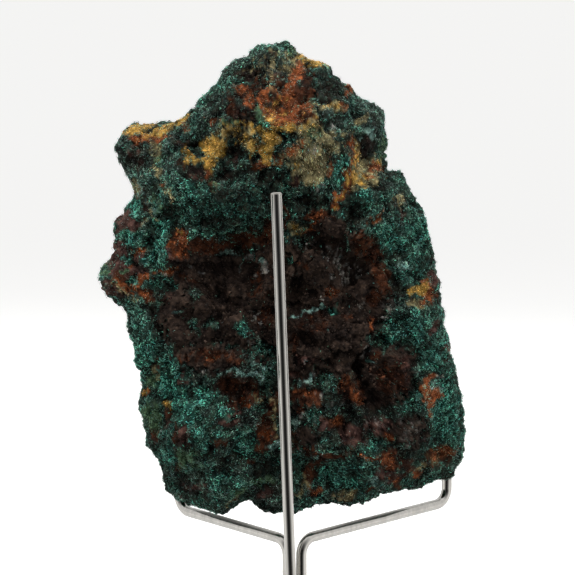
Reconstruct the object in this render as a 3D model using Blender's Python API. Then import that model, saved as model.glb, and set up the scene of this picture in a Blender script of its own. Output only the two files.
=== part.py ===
"""Brochantite on limonite, standing on a three-rod wire stand.

Frame: metres, +X right, +Y away from the viewer, +Z up. The origin is the centre
of the base's underside. The stone rests on two bent arms and leans on the tall
back rod; a short prong at the end of each arm stops its far edge from sliding.

Pieces: specimen, back_rod, left_arm_rod, right_arm_rod, base.
"""
import bisect
import math
from dataclasses import dataclass

import bmesh
import bpy
from mathutils import Vector, noise
from mathutils.bvhtree import BVHTree

MM = 0.001
CLEARANCE = 0.3 * MM                # gap kept between pieces that touch
ROD_NEST = 0.35 * MM                # stone to each upright rod that it leans on

# --- stand: driving dimensions -------------------------------------------------
ROD_RADIUS = 1.25 * MM
ROD_SIDES_RESOLUTION = 4            # bevel resolution of the rods: 12 sides
BEND_RADIUS = 3.8 * MM              # centre line radius of every bend
BEND_STEPS = 6
TIP_CHAMFER = 0.35 * MM

BASE_RADIUS = 42.0 * MM
BASE_THICKNESS = 9.0 * MM
BASE_EDGE = 1.2 * MM                # rounding of the disc's rim
COLLAR_RADIUS = 6.5 * MM
COLLAR_HEIGHT = 7.0 * MM
COLLAR_EDGE = 0.8 * MM
SOCKET_RADIUS = 3.7 * MM
SOCKET_DEPTH = 12.0 * MM
BASE_SEGMENTS = 48

LEFT_ARM_HEIGHT = 45.3 * MM         # centre line of each arm above the ground
RIGHT_ARM_HEIGHT = 45.5 * MM
LEFT_STEM = (-1.6 * MM, 1.2 * MM)   # x, y where each stem stands
RIGHT_STEM = (1.6 * MM, 1.2 * MM)
LEFT_CORNER = (-29.2 * MM, 31.4 * MM)
RIGHT_CORNER = (39.2 * MM, 38.0 * MM)
LEFT_PRONG_TOP = 55.4 * MM
RIGHT_PRONG_TOP = 61.5 * MM

BACK_ROD_FOOT = Vector((0.2 * MM, -1.8 * MM, 0.0))
BACK_ROD_TIP = Vector((-4.4 * MM, -1.8 * MM, 129.6 * MM))

# --- stone: driving dimensions, in millimetres about its own centre --------------
STONE_CENTRE = Vector((-2.3, 19.2, 103.6))
HALF_DEPTH = 22.0                   # centre to the near or the far face
FLATNESS = 2.7                      # 2 is an ellipse, larger is nearer a slab
GRID_CUTS = 19                      # cuts in each edge of the starting icosahedron

# Outer edge seen from the near side, clockwise from the top: (x, z).
OUTLINE = [
    (-3.0, 59.8), (0.3, 60.0), (5.2, 56.6), (9.8, 55.5), (13.8, 51.5), (16.6, 50.8),
    (17.0, 47.6), (22.8, 45.0), (24.6, 42.0), (23.6, 39.4), (25.4, 33.0), (23.8, 30.2),
    (26.8, 28.8), (28.8, 29.2), (30.2, 25.0), (33.6, 19.6), (34.8, 14.0), (36.8, 5.0),
    (38.2, -4.0), (40.8, -12.5), (44.8, -32.0), (45.4, -38.0), (44.4, -43.0),
    (41.6, -47.6), (38.0, -49.0), (31.6, -51.2), (25.4, -50.4), (18.6, -52.8),
    (2.5, -55.6), (-5.0, -56.2), (-7.6, -53.0), (-10.8, -52.8), (-14.2, -56.8),
    (-17.4, -56.8), (-20.4, -54.6), (-26.0, -53.6), (-30.4, -50.2), (-31.0, -44.8),
    (-34.4, -39.6), (-35.6, -28.0), (-34.6, -24.0), (-35.6, -18.0), (-39.2, -8.4),
    (-39.5, -4.2), (-45.0, 1.2), (-45.6, 4.6), (-44.6, 7.2), (-41.6, 7.8),
    (-41.6, 12.2), (-39.8, 13.6), (-41.0, 17.2), (-37.0, 22.6), (-38.4, 27.6),
    (-40.6, 34.6), (-38.0, 40.0), (-28.0, 40.4), (-23.6, 43.0), (-21.9, 45.9),
    (-18.0, 48.9), (-14.9, 51.8), (-14.2, 55.0), (-8.8, 57.0), (-6.8, 59.4),
]

OUTLINE_BLUR = 14.0                 # degrees, away from the outline's own plane
ROUNDED_INSET = 2.0

# Side profile: height z, then how far the near and the far face stand from the
# middle plane, as a share of HALF_DEPTH.
SIDE_PROFILE = [
    (-60.0, 0.84, 0.84), (-44.0, 0.92, 0.98), (-30.0, 0.98, 1.10), (-8.0, 0.96, 1.12),
    (14.0, 0.95, 1.04), (30.0, 1.02, 0.90), (44.0, 1.14, 0.78), (62.0, 1.12, 0.70),
]


@dataclass(frozen=True)
class Relief:
    """One raised or sunk form on the near or the far face.

    x, z: middle of the form, in mm from the stone's centre.
    half_x, half_z: its half sizes in mm; turn: degrees anticlockwise.
    height: mm out of the face, negative for a pit.
    rim: share of the half size over which the side falls; small is a ledge.
    """

    x: float
    z: float
    half_x: float
    half_z: float
    height: float
    turn: float = 0.0
    rim: float = 1.0

    def at(self, x, z):
        """Height of this form in mm at a point of the face."""
        angle = math.radians(self.turn)
        dx = x - self.x
        dz = z - self.z
        along = (dx * math.cos(angle) + dz * math.sin(angle)) / self.half_x
        across = (dz * math.cos(angle) - dx * math.sin(angle)) / self.half_z
        reach = math.hypot(along, across)
        return self.height * smooth((1.0 - reach) / self.rim)


NEAR_RELIEF = [
    Relief(2.0, 44.0, 23.0, 15.0, 5.0, turn=-12),               # upper dome
    Relief(-14.0, 44.0, 5.0, 9.0, 1.6, turn=40, rim=0.6),       # dome's left cheek
    Relief(17.0, 37.0, 6.0, 9.0, 1.6, turn=10, rim=0.6),        # dome's right cheek
    Relief(-3.0, 51.0, 7.0, 3.4, 1.2, turn=15, rim=0.7),        # brow of the dome
    Relief(-31.5, 39.0, 10.0, 4.6, 3.0, turn=4, rim=0.5),       # left shoulder shelf
    Relief(-20.5, 38.0, 2.6, 7.0, -2.6, turn=-20),              # cleft beside the shelf
    Relief(-18.0, 35.6, 2.8, 3.6, 2.4, rim=0.7),                # knob in the cleft
    Relief(-13.6, 31.8, 4.5, 3.0, -2.2),                        # dark pit under the dome
    Relief(-22.0, 26.5, 17.0, 6.4, 3.6, turn=-6, rim=0.45),     # overhanging crust band
    Relief(-2.0, 24.6, 10.0, 3.8, -1.6, rim=0.6),               # bay behind the rod's tip
    Relief(20.0, 21.0, 12.0, 10.0, 2.4, turn=-30, rim=0.6),     # right shoulder
    Relief(28.0, 4.0, 6.0, 13.0, 2.0, turn=10, rim=0.6),        # right cheek
    Relief(0.0, 7.0, 27.0, 14.5, -5.6, rim=0.3),                # broken hollow
    Relief(-12.6, 11.0, 5.4, 6.4, -2.2, rim=0.5),               # its deepest place
    Relief(11.0, 13.0, 7.0, 4.0, 1.8, turn=-20, rim=0.4),       # block in the hollow
    Relief(18.0, 3.0, 5.4, 4.6, 2.0, turn=30, rim=0.35),        # block in the hollow
    Relief(-25.0, 12.0, 4.6, 5.0, 2.2, turn=12, rim=0.4),       # block in the hollow
    Relief(-19.0, -1.0, 6.4, 3.2, 1.6, turn=-15, rim=0.4),      # block in the hollow
    Relief(-10.5, -15.4, 8.0, 3.4, 2.0, turn=4, rim=0.4),       # arch over a bay
    Relief(-10.5, -20.6, 6.4, 3.6, -2.4, rim=0.5),              # bay under the arch
    Relief(-31.0, -10.0, 5.0, 10.0, 2.0, turn=8, rim=0.7),      # left wall
    Relief(-21.0, -32.0, 10.0, 12.0, 2.6, turn=10, rim=0.6),    # lower left lobe
    Relief(-4.4, -27.0, 3.4, 12.0, -2.6, turn=3),               # groove by the rod
    Relief(25.4, -17.6, 5.6, 6.4, 2.8, turn=8, rim=0.3),        # square block
    Relief(19.2, -17.6, 2.2, 6.0, -3.4, turn=5, rim=0.6),       # gap beside it
    Relief(14.4, -20.4, 4.4, 5.0, 1.8, turn=-10, rim=0.3),      # small block
    Relief(35.0, -24.0, 5.0, 9.0, 1.8, turn=12, rim=0.6),       # right edge lobe
    Relief(14.0, -36.5, 12.0, 4.2, 2.6, turn=8, rim=0.45),      # low crust shelf
    Relief(10.0, -44.0, 9.0, 3.6, -2.0, turn=-20),              # scoop under the shelf
    Relief(27.0, -42.0, 8.0, 4.0, 1.8, turn=12, rim=0.5),       # lower right corner
    Relief(-15.6, -47.0, 6.0, 6.0, 2.0, rim=0.7),               # foot on the left arm
]

# Places where the whole stone stands further back (positive) or further forward.
SET_BACK = [
    Relief(44.0, -42.0, 30.0, 26.0, 9.0),                       # over the right prong
    Relief(-32.0, -48.0, 22.0, 20.0, 5.0),                      # over the left prong
    Relief(-40.0, 38.0, 24.0, 18.0, 4.0),                       # left shoulder
    Relief(30.0, 20.0, 24.0, 22.0, -3.0),                       # right shoulder
    Relief(-44.0, 6.0, 18.0, 14.0, -3.0),                       # left spur
]

FAR_RELIEF = [
    Relief(-8.0, 34.0, 16.0, 12.0, 3.6, turn=20, rim=0.6),
    Relief(14.0, 22.0, 12.0, 9.0, 2.8, turn=-35, rim=0.45),
    Relief(2.0, 10.0, 18.0, 5.0, -3.4, turn=-18, rim=0.7),
    Relief(-22.0, 2.0, 12.0, 14.0, 3.4, turn=10, rim=0.5),
    Relief(20.0, -8.0, 13.0, 10.0, 3.2, turn=25, rim=0.4),
    Relief(-4.0, -20.0, 12.0, 9.0, 3.0, turn=-10, rim=0.45),
    Relief(6.0, -34.0, 14.0, 5.0, -2.8, turn=12, rim=0.8),
    Relief(-24.0, -28.0, 8.0, 10.0, 1.8, rim=0.6),
    Relief(-2.0, -2.0, 5.0, 5.0, -2.6, rim=0.7),
    Relief(26.0, -30.0, 8.0, 7.0, 1.6, rim=0.5),
]

# Where the near face is bare, broken limonite: 1 inside, 0 outside.
BROKEN_AREAS = [
    Relief(0.0, 6.0, 37.0, 23.0, 1.0, rim=0.33),
    Relief(21.0, -19.0, 18.0, 12.0, 1.0, rim=0.33),
]
FAR_BROKENNESS = 0.25               # evenly over the far face

# Rough surface: feature size in mm, height in mm, offset that seeds the pattern.
ROLLING = (13.0, 4.4, Vector((3.1, 7.7, 1.9)))
GRANULAR = (6.0, 2.4, Vector((9.3, 2.1, 5.5)))
BLOCKS = (9.0, 4.2, Vector((1.7, 4.4, 8.2)))
BLOCK_CRACK = 0.3                   # width of a crack, as a share of a block
LUMPS_LOST = 0.4                    # share of the lumps missing where it is broken
EDGE_ROUGHNESS = 0.25               # share of the roughness kept on the outline itself

COLOURS = {
    "specimen": ((0.03, 0.12, 0.10, 1.0), 0.85, 0.0),
    "steel": ((0.56, 0.54, 0.51, 1.0), 0.28, 1.0),
}


def clear_scene():
    """Remove whatever the opened file holds."""
    for item in list(bpy.data.objects):
        bpy.data.objects.remove(item, do_unlink=True)


def make_material(name, finish):
    """A Principled material for one piece, from a named finish."""
    colour, roughness, metallic = COLOURS[finish]
    material = bpy.data.materials.new(name)
    material.use_nodes = True
    shader = material.node_tree.nodes["Principled BSDF"]
    shader.inputs["Base Color"].default_value = colour
    shader.inputs["Roughness"].default_value = roughness
    shader.inputs["Metallic"].default_value = metallic
    return material


def add_object(name, data, finish):
    """Link a mesh or curve into the scene under its piece's name."""
    item = bpy.data.objects.new(name, data)
    bpy.context.collection.objects.link(item)
    data.materials.append(make_material(name, finish))
    return item


def smooth(value):
    """Smooth step of a value clamped between 0 and 1."""
    value = min(max(value, 0.0), 1.0)
    return value * value * (3.0 - 2.0 * value)


def band(value, low, high):
    """Smooth rise from 0 at the low value to 1 at the high one."""
    return smooth((value - low) / (high - low))


# --- stone -------------------------------------------------------------------------

def outline_by_angle():
    """The outline's points as (angle, point), sorted, from below -180 to above 180."""
    corners = sorted((math.atan2(z, x), Vector((x, z))) for x, z in OUTLINE)
    first = (corners[0][0] + 2 * math.pi, corners[0][1])
    last = (corners[-1][0] - 2 * math.pi, corners[-1][1])
    return [last] + corners + [first]


def outline_radius(corners, angle):
    """Distance from the stone's centre to its outline in one direction."""
    angle = math.remainder(angle, 2 * math.pi)
    last = len(corners) - 1
    after = bisect.bisect_left(corners, angle, lo=1, hi=last, key=lambda corner: corner[0])
    start = corners[after - 1][1]
    run = corners[after][1] - start
    ray = Vector((math.cos(angle), math.sin(angle)))
    share = start.cross(ray) / ray.cross(run)
    return ray.dot(start + run * share)


def rounded_radius(corners, angle):
    """The same distance to a rounder outline without the small corners."""
    turns = [math.radians(OUTLINE_BLUR * index / 3) for index in range(-3, 4)]
    return sum(outline_radius(corners, angle + turn) for turn in turns) / len(turns)


def side_depth(z, near):
    """Depth of the near or the far face at a height, as a share of HALF_DEPTH."""
    column = 1 if near else 2
    for low, high in zip(SIDE_PROFILE, SIDE_PROFILE[1:]):
        if z <= high[0]:
            share = smooth((z - low[0]) / (high[0] - low[0]))
            return low[column] + share * (high[column] - low[column])
    return SIDE_PROFILE[-1][column]


def block_noise(point):
    """Flat-topped blocks: each cell of a Voronoi pattern has a height of its own."""
    size, height, seed = BLOCKS
    distances, cells = noise.voronoi(point / size + seed)
    level = noise.cell(cells[0] * 7.3)
    inside = smooth((distances[1] - distances[0]) / BLOCK_CRACK)
    return height * (level - 0.5) * inside - 0.2 * height * (1.0 - inside)


def brokenness(x, z):
    """1 where the bare limonite breaks in blocks, 0 on the rounded crust."""
    return max(area.at(x, z) for area in BROKEN_AREAS)


def rough_surface(point, near):
    """Small lumps and blocks, in mm outward, at a point in mm."""
    lumps = 0.0
    for size, height, seed in (ROLLING, GRANULAR):
        lumps += height * noise.noise(point / size + seed)
    broken = brokenness(point.x, point.z) if near else FAR_BROKENNESS
    return lumps * (1.0 - LUMPS_LOST * broken) + broken * block_noise(point)


def stone_point(direction, corners):
    """Place one point of the stone's skin, in mm about its centre."""
    angle = math.atan2(direction.z, direction.x)
    off_edge = abs(direction.y)
    sharp = outline_radius(corners, angle)
    rounded = rounded_radius(corners, angle) - ROUNDED_INSET
    edge = sharp + (rounded - sharp) * band(off_edge, 0.05, 0.45)
    flat = math.hypot(direction.x, direction.z)
    reach = (flat / edge) ** FLATNESS + (off_edge / HALF_DEPTH) ** FLATNESS
    point = direction * reach ** (-1.0 / FLATNESS)

    near = point.y < 0.0
    point.y *= side_depth(point.z, near)
    relief = NEAR_RELIEF if near else FAR_RELIEF
    raised = band(off_edge, 0.12, 0.46) * sum(form.at(point.x, point.z) for form in relief)
    kept = EDGE_ROUGHNESS + (1.0 - EDGE_ROUGHNESS) * band(off_edge, 0.02, 0.22)
    rough = rough_surface(point, near) * kept
    point.y += -raised if near else raised
    point.y += sum(form.at(point.x, point.z) for form in SET_BACK)
    return point + direction * rough


def clear_of_back_rod(point):
    """Keep a skin point on the far side of the tall rod."""
    share = (point.z - BACK_ROD_FOOT.z) / (BACK_ROD_TIP.z - BACK_ROD_FOOT.z)
    rod_x = BACK_ROD_FOOT.x + share * (BACK_ROD_TIP.x - BACK_ROD_FOOT.x)
    beside = smooth((5.5 * MM - abs(point.x - rod_x)) / (2.5 * MM))
    below_tip = smooth((1.06 - share) / 0.03)
    limit = BACK_ROD_FOOT.y + ROD_RADIUS + ROD_NEST
    point.y += beside * below_tip * max(limit - point.y, 0.0)


def clear_of_prong(point, corner, prong_top):
    """Keep a skin point on the near side of a prong."""
    beside = smooth((7.0 * MM - abs(point.x - corner[0])) / (4.0 * MM))
    below_top = smooth((prong_top + 5.0 * MM - point.z) / (3.0 * MM))
    limit = corner[1] - ROD_RADIUS - ROD_NEST
    point.y -= beside * below_top * max(point.y - limit, 0.0)


def make_stone():
    """The specimen: one closed, faceted solid on an even triangle grid."""
    mesh = bmesh.new()
    bmesh.ops.create_icosphere(mesh, subdivisions=1, radius=1.0)
    bmesh.ops.subdivide_edges(mesh, edges=mesh.edges[:], cuts=GRID_CUTS, use_grid_fill=True)
    corners = outline_by_angle()
    for vertex in mesh.verts:
        skin = (stone_point(vertex.co.normalized(), corners) + STONE_CENTRE) * MM
        clear_of_back_rod(skin)
        clear_of_prong(skin, LEFT_CORNER, LEFT_PRONG_TOP)
        clear_of_prong(skin, RIGHT_CORNER, RIGHT_PRONG_TOP)
        vertex.co = skin
    bmesh.ops.recalc_face_normals(mesh, faces=mesh.faces[:])
    data = bpy.data.meshes.new("specimen")
    mesh.to_mesh(data)
    mesh.free()
    return add_object("specimen", data, "specimen")


# --- stand -------------------------------------------------------------------------

def bend(before, corner, after):
    """Points of a round bend at a corner of a rod's centre line."""
    inward = (before - corner).normalized()
    outward = (after - corner).normalized()
    half = inward.angle(outward) / 2.0
    trim = BEND_RADIUS / math.tan(half)
    middle = corner + (inward + outward).normalized() * (BEND_RADIUS / math.sin(half))
    start = (corner + inward * trim - middle).normalized()
    end = (corner + outward * trim - middle).normalized()
    turns = [start.slerp(end, index / BEND_STEPS) for index in range(BEND_STEPS + 1)]
    return [middle + turn * BEND_RADIUS for turn in turns]


def make_rod(name, corners):
    """A round rod along straight runs, with a round bend at each inner corner."""
    centre_line = [corners[0]]
    for before, corner, after in zip(corners, corners[1:], corners[2:]):
        centre_line += bend(before, corner, after)
    centre_line.append(corners[-1])

    # The last run ends in a small chamfer.
    run = (centre_line[-1] - centre_line[-2]).normalized()
    centre_line[-1:] = [centre_line[-1] - run * TIP_CHAMFER, centre_line[-1]]

    curve = bpy.data.curves.new(name, "CURVE")
    curve.dimensions = "3D"
    curve.bevel_depth = ROD_RADIUS
    curve.bevel_resolution = ROD_SIDES_RESOLUTION
    curve.use_fill_caps = True
    spline = curve.splines.new("POLY")
    spline.points.add(len(centre_line) - 1)
    for point, place in zip(spline.points, centre_line):
        point.co = (*place, 1.0)
    spline.points[-1].radius = 1.0 - TIP_CHAMFER / ROD_RADIUS
    return add_object(name, curve, "steel")


def make_arm(name, stem, corner, arm_height, prong_top):
    """Stem up from the base, arm out and away, prong up."""
    socket_floor = BASE_THICKNESS + COLLAR_HEIGHT - SOCKET_DEPTH + CLEARANCE
    corners = [
        Vector((*stem, socket_floor)),
        Vector((*stem, arm_height)),
        Vector((*corner, arm_height)),
        Vector((*corner, prong_top)),
    ]
    return make_rod(name, corners)


def make_back_rod():
    """The tall, slightly leaning rod."""
    socket_floor = BASE_THICKNESS + COLLAR_HEIGHT - SOCKET_DEPTH + CLEARANCE
    rise = BACK_ROD_TIP - BACK_ROD_FOOT
    foot = BACK_ROD_FOOT + rise * (socket_floor / rise.z)
    return make_rod("back_rod", [foot, BACK_ROD_TIP])


def base_profile():
    """Half section of the base as (radius, height), from the axis outwards."""
    top = BASE_THICKNESS
    rim = top + COLLAR_HEIGHT
    return [
        (0.0, 0.0),
        (BASE_RADIUS - BASE_EDGE / 2, 0.0),
        (BASE_RADIUS, BASE_EDGE / 2),
        (BASE_RADIUS, top - BASE_EDGE),
        (BASE_RADIUS - 0.3 * BASE_EDGE, top - 0.3 * BASE_EDGE),
        (BASE_RADIUS - BASE_EDGE, top),
        (COLLAR_RADIUS + COLLAR_EDGE, top),
        (COLLAR_RADIUS, top + COLLAR_EDGE),
        (COLLAR_RADIUS, rim - COLLAR_EDGE),
        (COLLAR_RADIUS - COLLAR_EDGE, rim),
        (SOCKET_RADIUS, rim),
        (SOCKET_RADIUS, rim - SOCKET_DEPTH),
        (0.0, rim - SOCKET_DEPTH),
    ]


def make_base():
    """The turned foot, with one socket that takes the three stems."""
    mesh = bmesh.new()
    points = [mesh.verts.new((radius, 0.0, height)) for radius, height in base_profile()]
    edges = [mesh.edges.new(pair) for pair in zip(points, points[1:])]
    bmesh.ops.spin(
        mesh, geom=points + edges, cent=(0, 0, 0), axis=(0, 0, 1),
        angle=2 * math.pi, steps=BASE_SEGMENTS, use_merge=True,
    )
    bmesh.ops.remove_doubles(mesh, verts=mesh.verts[:], dist=0.01 * MM)
    bmesh.ops.recalc_face_normals(mesh, faces=mesh.faces[:])
    data = bpy.data.meshes.new("base")
    mesh.to_mesh(data)
    mesh.free()
    data.shade_smooth()
    data.set_sharp_from_angle(angle=math.radians(30))
    return add_object("base", data, "steel")


def report_clearances(stone, rods):
    """Print how near each rod comes to the stone, in mm."""
    depsgraph = bpy.context.evaluated_depsgraph_get()
    tree = BVHTree.FromObject(stone, depsgraph)
    for rod in rods:
        mesh = rod.evaluated_get(depsgraph).to_mesh()
        near = min(tree.find_nearest(v.co)[3] for v in mesh.vertices)
        print(f"{rod.name}: {near / MM:.2f} mm from the stone")


def main():
    """Build every piece."""
    clear_scene()
    make_base()
    stone = make_stone()
    rods = [
        make_back_rod(),
        make_arm("left_arm_rod", LEFT_STEM, LEFT_CORNER, LEFT_ARM_HEIGHT, LEFT_PRONG_TOP),
        make_arm("right_arm_rod", RIGHT_STEM, RIGHT_CORNER, RIGHT_ARM_HEIGHT, RIGHT_PRONG_TOP),
    ]
    report_clearances(stone, rods)


main()
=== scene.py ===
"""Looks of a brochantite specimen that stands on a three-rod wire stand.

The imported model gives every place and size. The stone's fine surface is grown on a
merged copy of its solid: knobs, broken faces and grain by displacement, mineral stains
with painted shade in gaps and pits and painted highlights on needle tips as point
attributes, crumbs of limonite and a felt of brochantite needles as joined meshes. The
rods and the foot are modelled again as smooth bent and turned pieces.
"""

import logging
import math
from collections.abc import Sequence
from dataclasses import dataclass, field
from enum import Enum
from typing import ClassVar

import bpy
import numpy as np
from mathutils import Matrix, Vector, noise


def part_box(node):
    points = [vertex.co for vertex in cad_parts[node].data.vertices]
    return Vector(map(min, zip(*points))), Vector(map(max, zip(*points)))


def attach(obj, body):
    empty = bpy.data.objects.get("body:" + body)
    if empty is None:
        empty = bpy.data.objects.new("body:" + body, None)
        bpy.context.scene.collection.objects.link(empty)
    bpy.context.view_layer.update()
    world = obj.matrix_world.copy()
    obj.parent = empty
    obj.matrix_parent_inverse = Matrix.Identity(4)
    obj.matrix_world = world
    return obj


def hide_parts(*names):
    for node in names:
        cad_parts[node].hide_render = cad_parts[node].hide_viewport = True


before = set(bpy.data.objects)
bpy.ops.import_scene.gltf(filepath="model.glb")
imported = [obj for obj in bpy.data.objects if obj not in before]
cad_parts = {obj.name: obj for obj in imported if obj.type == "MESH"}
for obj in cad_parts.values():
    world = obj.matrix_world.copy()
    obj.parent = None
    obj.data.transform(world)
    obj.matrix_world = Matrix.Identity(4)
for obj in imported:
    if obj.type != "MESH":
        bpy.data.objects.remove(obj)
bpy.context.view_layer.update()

MM = 0.001
WELD = 0.01 * MM        # vertices closer than this are one
TINY = 1e-12            # keeps a length from being 0 before it divides
SKEW = 0.01             # keeps one direction from being parallel to another
LOG = logging.getLogger("specimen")

Array = np.ndarray
Item = bpy.types.Object
Socket = bpy.types.NodeSocket
Random = np.random.Generator
Colour = tuple[float, float, float]
Triple = tuple[float, float, float]
Range = tuple[float, float]
Row = tuple[float, ...]

BLACK: Colour = (0.0, 0.0, 0.0)
WHITE: Colour = (1.0, 1.0, 1.0)


class Slot(Enum):
    """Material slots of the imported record."""

    STONE = "stone"
    ROD = "rod_steel"
    BASE = "base_steel"


class Kind(Enum):
    """What a patch on the stone can be."""

    @property
    def index(self) -> int:
        """Column of the kind among the covers."""
        return list(type(self)).index(self)


class Mineral(Kind):
    """What colours a place on the stone. A later one lies over an earlier one."""

    LIMONITE = "brown iron ore, nearly bare"
    MAROON = "purplish brown crust"
    RUST = "rust-red crust"
    CLAY = "greyish tan powder"
    ORANGE = "orange powder"
    OCHRE = "yellow powder"
    MOSS = "soft green felt"
    ASH = "greyish white fibres"
    PALE = "pale turquoise vein"
    FELT = "felt that comes back over a bare place"


class Trait(Kind):
    """How the felt looks apart from its mineral."""

    BRIGHT = "lighter needles"
    # A pit: the surface sinks and the felt thins there; its darkness is painted shade.
    DARK = "dark pit or gap"
    VIVID = "pure green"
    DULL = "slate grey"


# --- small helpers ---

def smooth(value: Array) -> Array:
    """Smooth step of values clamped between 0 and 1."""
    value = np.clip(value, 0.0, 1.0)
    return value * value * (3.0 - 2.0 * value)


def rise(value: Array, low: float, high: float) -> Array:
    """Smooth rise from 0 at the low value to 1 at the high one."""
    return smooth((value - low) / (high - low))


def unit(rows: Array) -> Array:
    """Rows scaled to length 1."""
    return rows / np.maximum(np.linalg.norm(rows, axis=1), TINY)[:, None]


def blend(first: Array, second: Array, share: Array) -> Array:
    """Rows between two sets of rows, by one share for each row."""
    return first + (second - first) * share[:, None]


@dataclass(frozen=True)
class Pattern:
    """Smooth noise: the size of one lump in mm, and an offset that picks the pattern."""

    size: float
    offset: Triple
    gain: float = 1.6

    def at(self, local: Array) -> Array:
        """Values of about -1 to 1 at points in mm."""
        scaled = local / self.size + np.array(self.offset)
        return np.array([noise.noise(row) for row in scaled.tolist()]) * self.gain


def select_only(item: Item) -> None:
    """Select one object and make it active."""
    bpy.ops.object.select_all(action="DESELECT")
    item.select_set(True)
    bpy.context.view_layer.objects.active = item


def new_item(name: str, data: bpy.types.ID) -> Item:
    """New object of the data, in the scene."""
    item = bpy.data.objects.new(name, data)
    bpy.context.scene.collection.objects.link(item)
    return item


def merged_copy(node: str, name: str) -> Item:
    """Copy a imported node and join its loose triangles.

    Args:
        node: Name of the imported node.
        name: Name of the new object.

    Returns:
        The copy, a closed mesh with its own data.
    """
    item = new_item(name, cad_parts[node].data.copy())
    item.data.materials.clear()
    item.data.name = name
    select_only(item)
    bpy.ops.object.mode_set(mode="EDIT")
    bpy.ops.mesh.select_all(action="SELECT")
    bpy.ops.mesh.remove_doubles(threshold=WELD)
    bpy.ops.object.mode_set(mode="OBJECT")
    return item


def joined_mesh(name: str, vertices: Array, faces: Array, tones: Array) -> Item:
    """Make one mesh from arrays.

    Args:
        name: Name of the new object.
        vertices: Rows of x, y, z in metres.
        faces: Rows of vertex numbers, all of the same length.
        tones: One linear colour for each vertex.

    Returns:
        The object.
    """
    corners = faces.shape[1]
    mesh = bpy.data.meshes.new(name)
    mesh.vertices.add(len(vertices))
    mesh.vertices.foreach_set("co", vertices.ravel())
    mesh.loops.add(faces.size)
    mesh.loops.foreach_set("vertex_index", faces.ravel().astype(np.int32))
    mesh.polygons.add(len(faces))
    mesh.polygons.foreach_set("loop_start", np.arange(0, faces.size, corners, dtype=np.int32))
    mesh.update(calc_edges=True)
    mesh.validate()
    write_tone(mesh, tones)
    return new_item(name, mesh)


def write_tone(mesh: bpy.types.Mesh, tones: Array) -> None:
    """Store one linear colour for each vertex as the attribute "tone"."""
    layer = mesh.attributes.new("tone", "FLOAT_COLOR", "POINT")
    rows = np.column_stack([tones, np.ones(len(tones))])
    layer.data.foreach_set("color", rows.astype(np.float32).ravel())


def finish_shape(item: Item, smooth_degrees: float) -> None:
    """Close a shape that is open in edit mode, turn its faces out and smooth its soft edges.

    Args:
        item: The shape's object.
        smooth_degrees: Faces that meet at less than this angle shade as one.
    """
    bpy.ops.mesh.select_all(action="SELECT")
    bpy.ops.mesh.remove_doubles(threshold=WELD)
    bpy.ops.mesh.normals_make_consistent(inside=False)
    bpy.ops.object.mode_set(mode="OBJECT")
    select_only(item)
    bpy.ops.object.shade_smooth_by_angle(angle=math.radians(smooth_degrees))


# --- where each mineral lies ---

@dataclass(frozen=True)
class Patch:
    """One stained ellipse, seen from the near side."""

    x: float  # middle, in mm from the stone's centre
    z: float
    half_x: float
    half_z: float
    strength: float = 1.0  # share of the place that is covered
    turn: float = 0.0  # degrees anticlockwise
    end: float = 1.65  # half sizes at which it has faded out
    fade: float = 1.25  # over this many half sizes

    @classmethod
    def read(cls, row: Row) -> "Patch":
        """Patch from a row of a table."""
        return cls(*(length / 10 for length in row[:4]), *(share / 100 for share in row[4:5]),
                   *row[5:])

    def weigh(self, x: Array, z: Array) -> Array:
        """How strongly the patch covers each point.

        Args:
            x: Places in mm to the right of the stone's centre.
            z: Places in mm above it.

        Returns:
            Values from 0 to the patch's strength.
        """
        angle = math.radians(self.turn)
        right, up = x - self.x, z - self.z
        along = (right * math.cos(angle) + up * math.sin(angle)) / self.half_x
        across = (up * math.cos(angle) - right * math.sin(angle)) / self.half_z
        return self.strength * smooth((self.end - np.hypot(along, across)) / self.fade)


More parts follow.
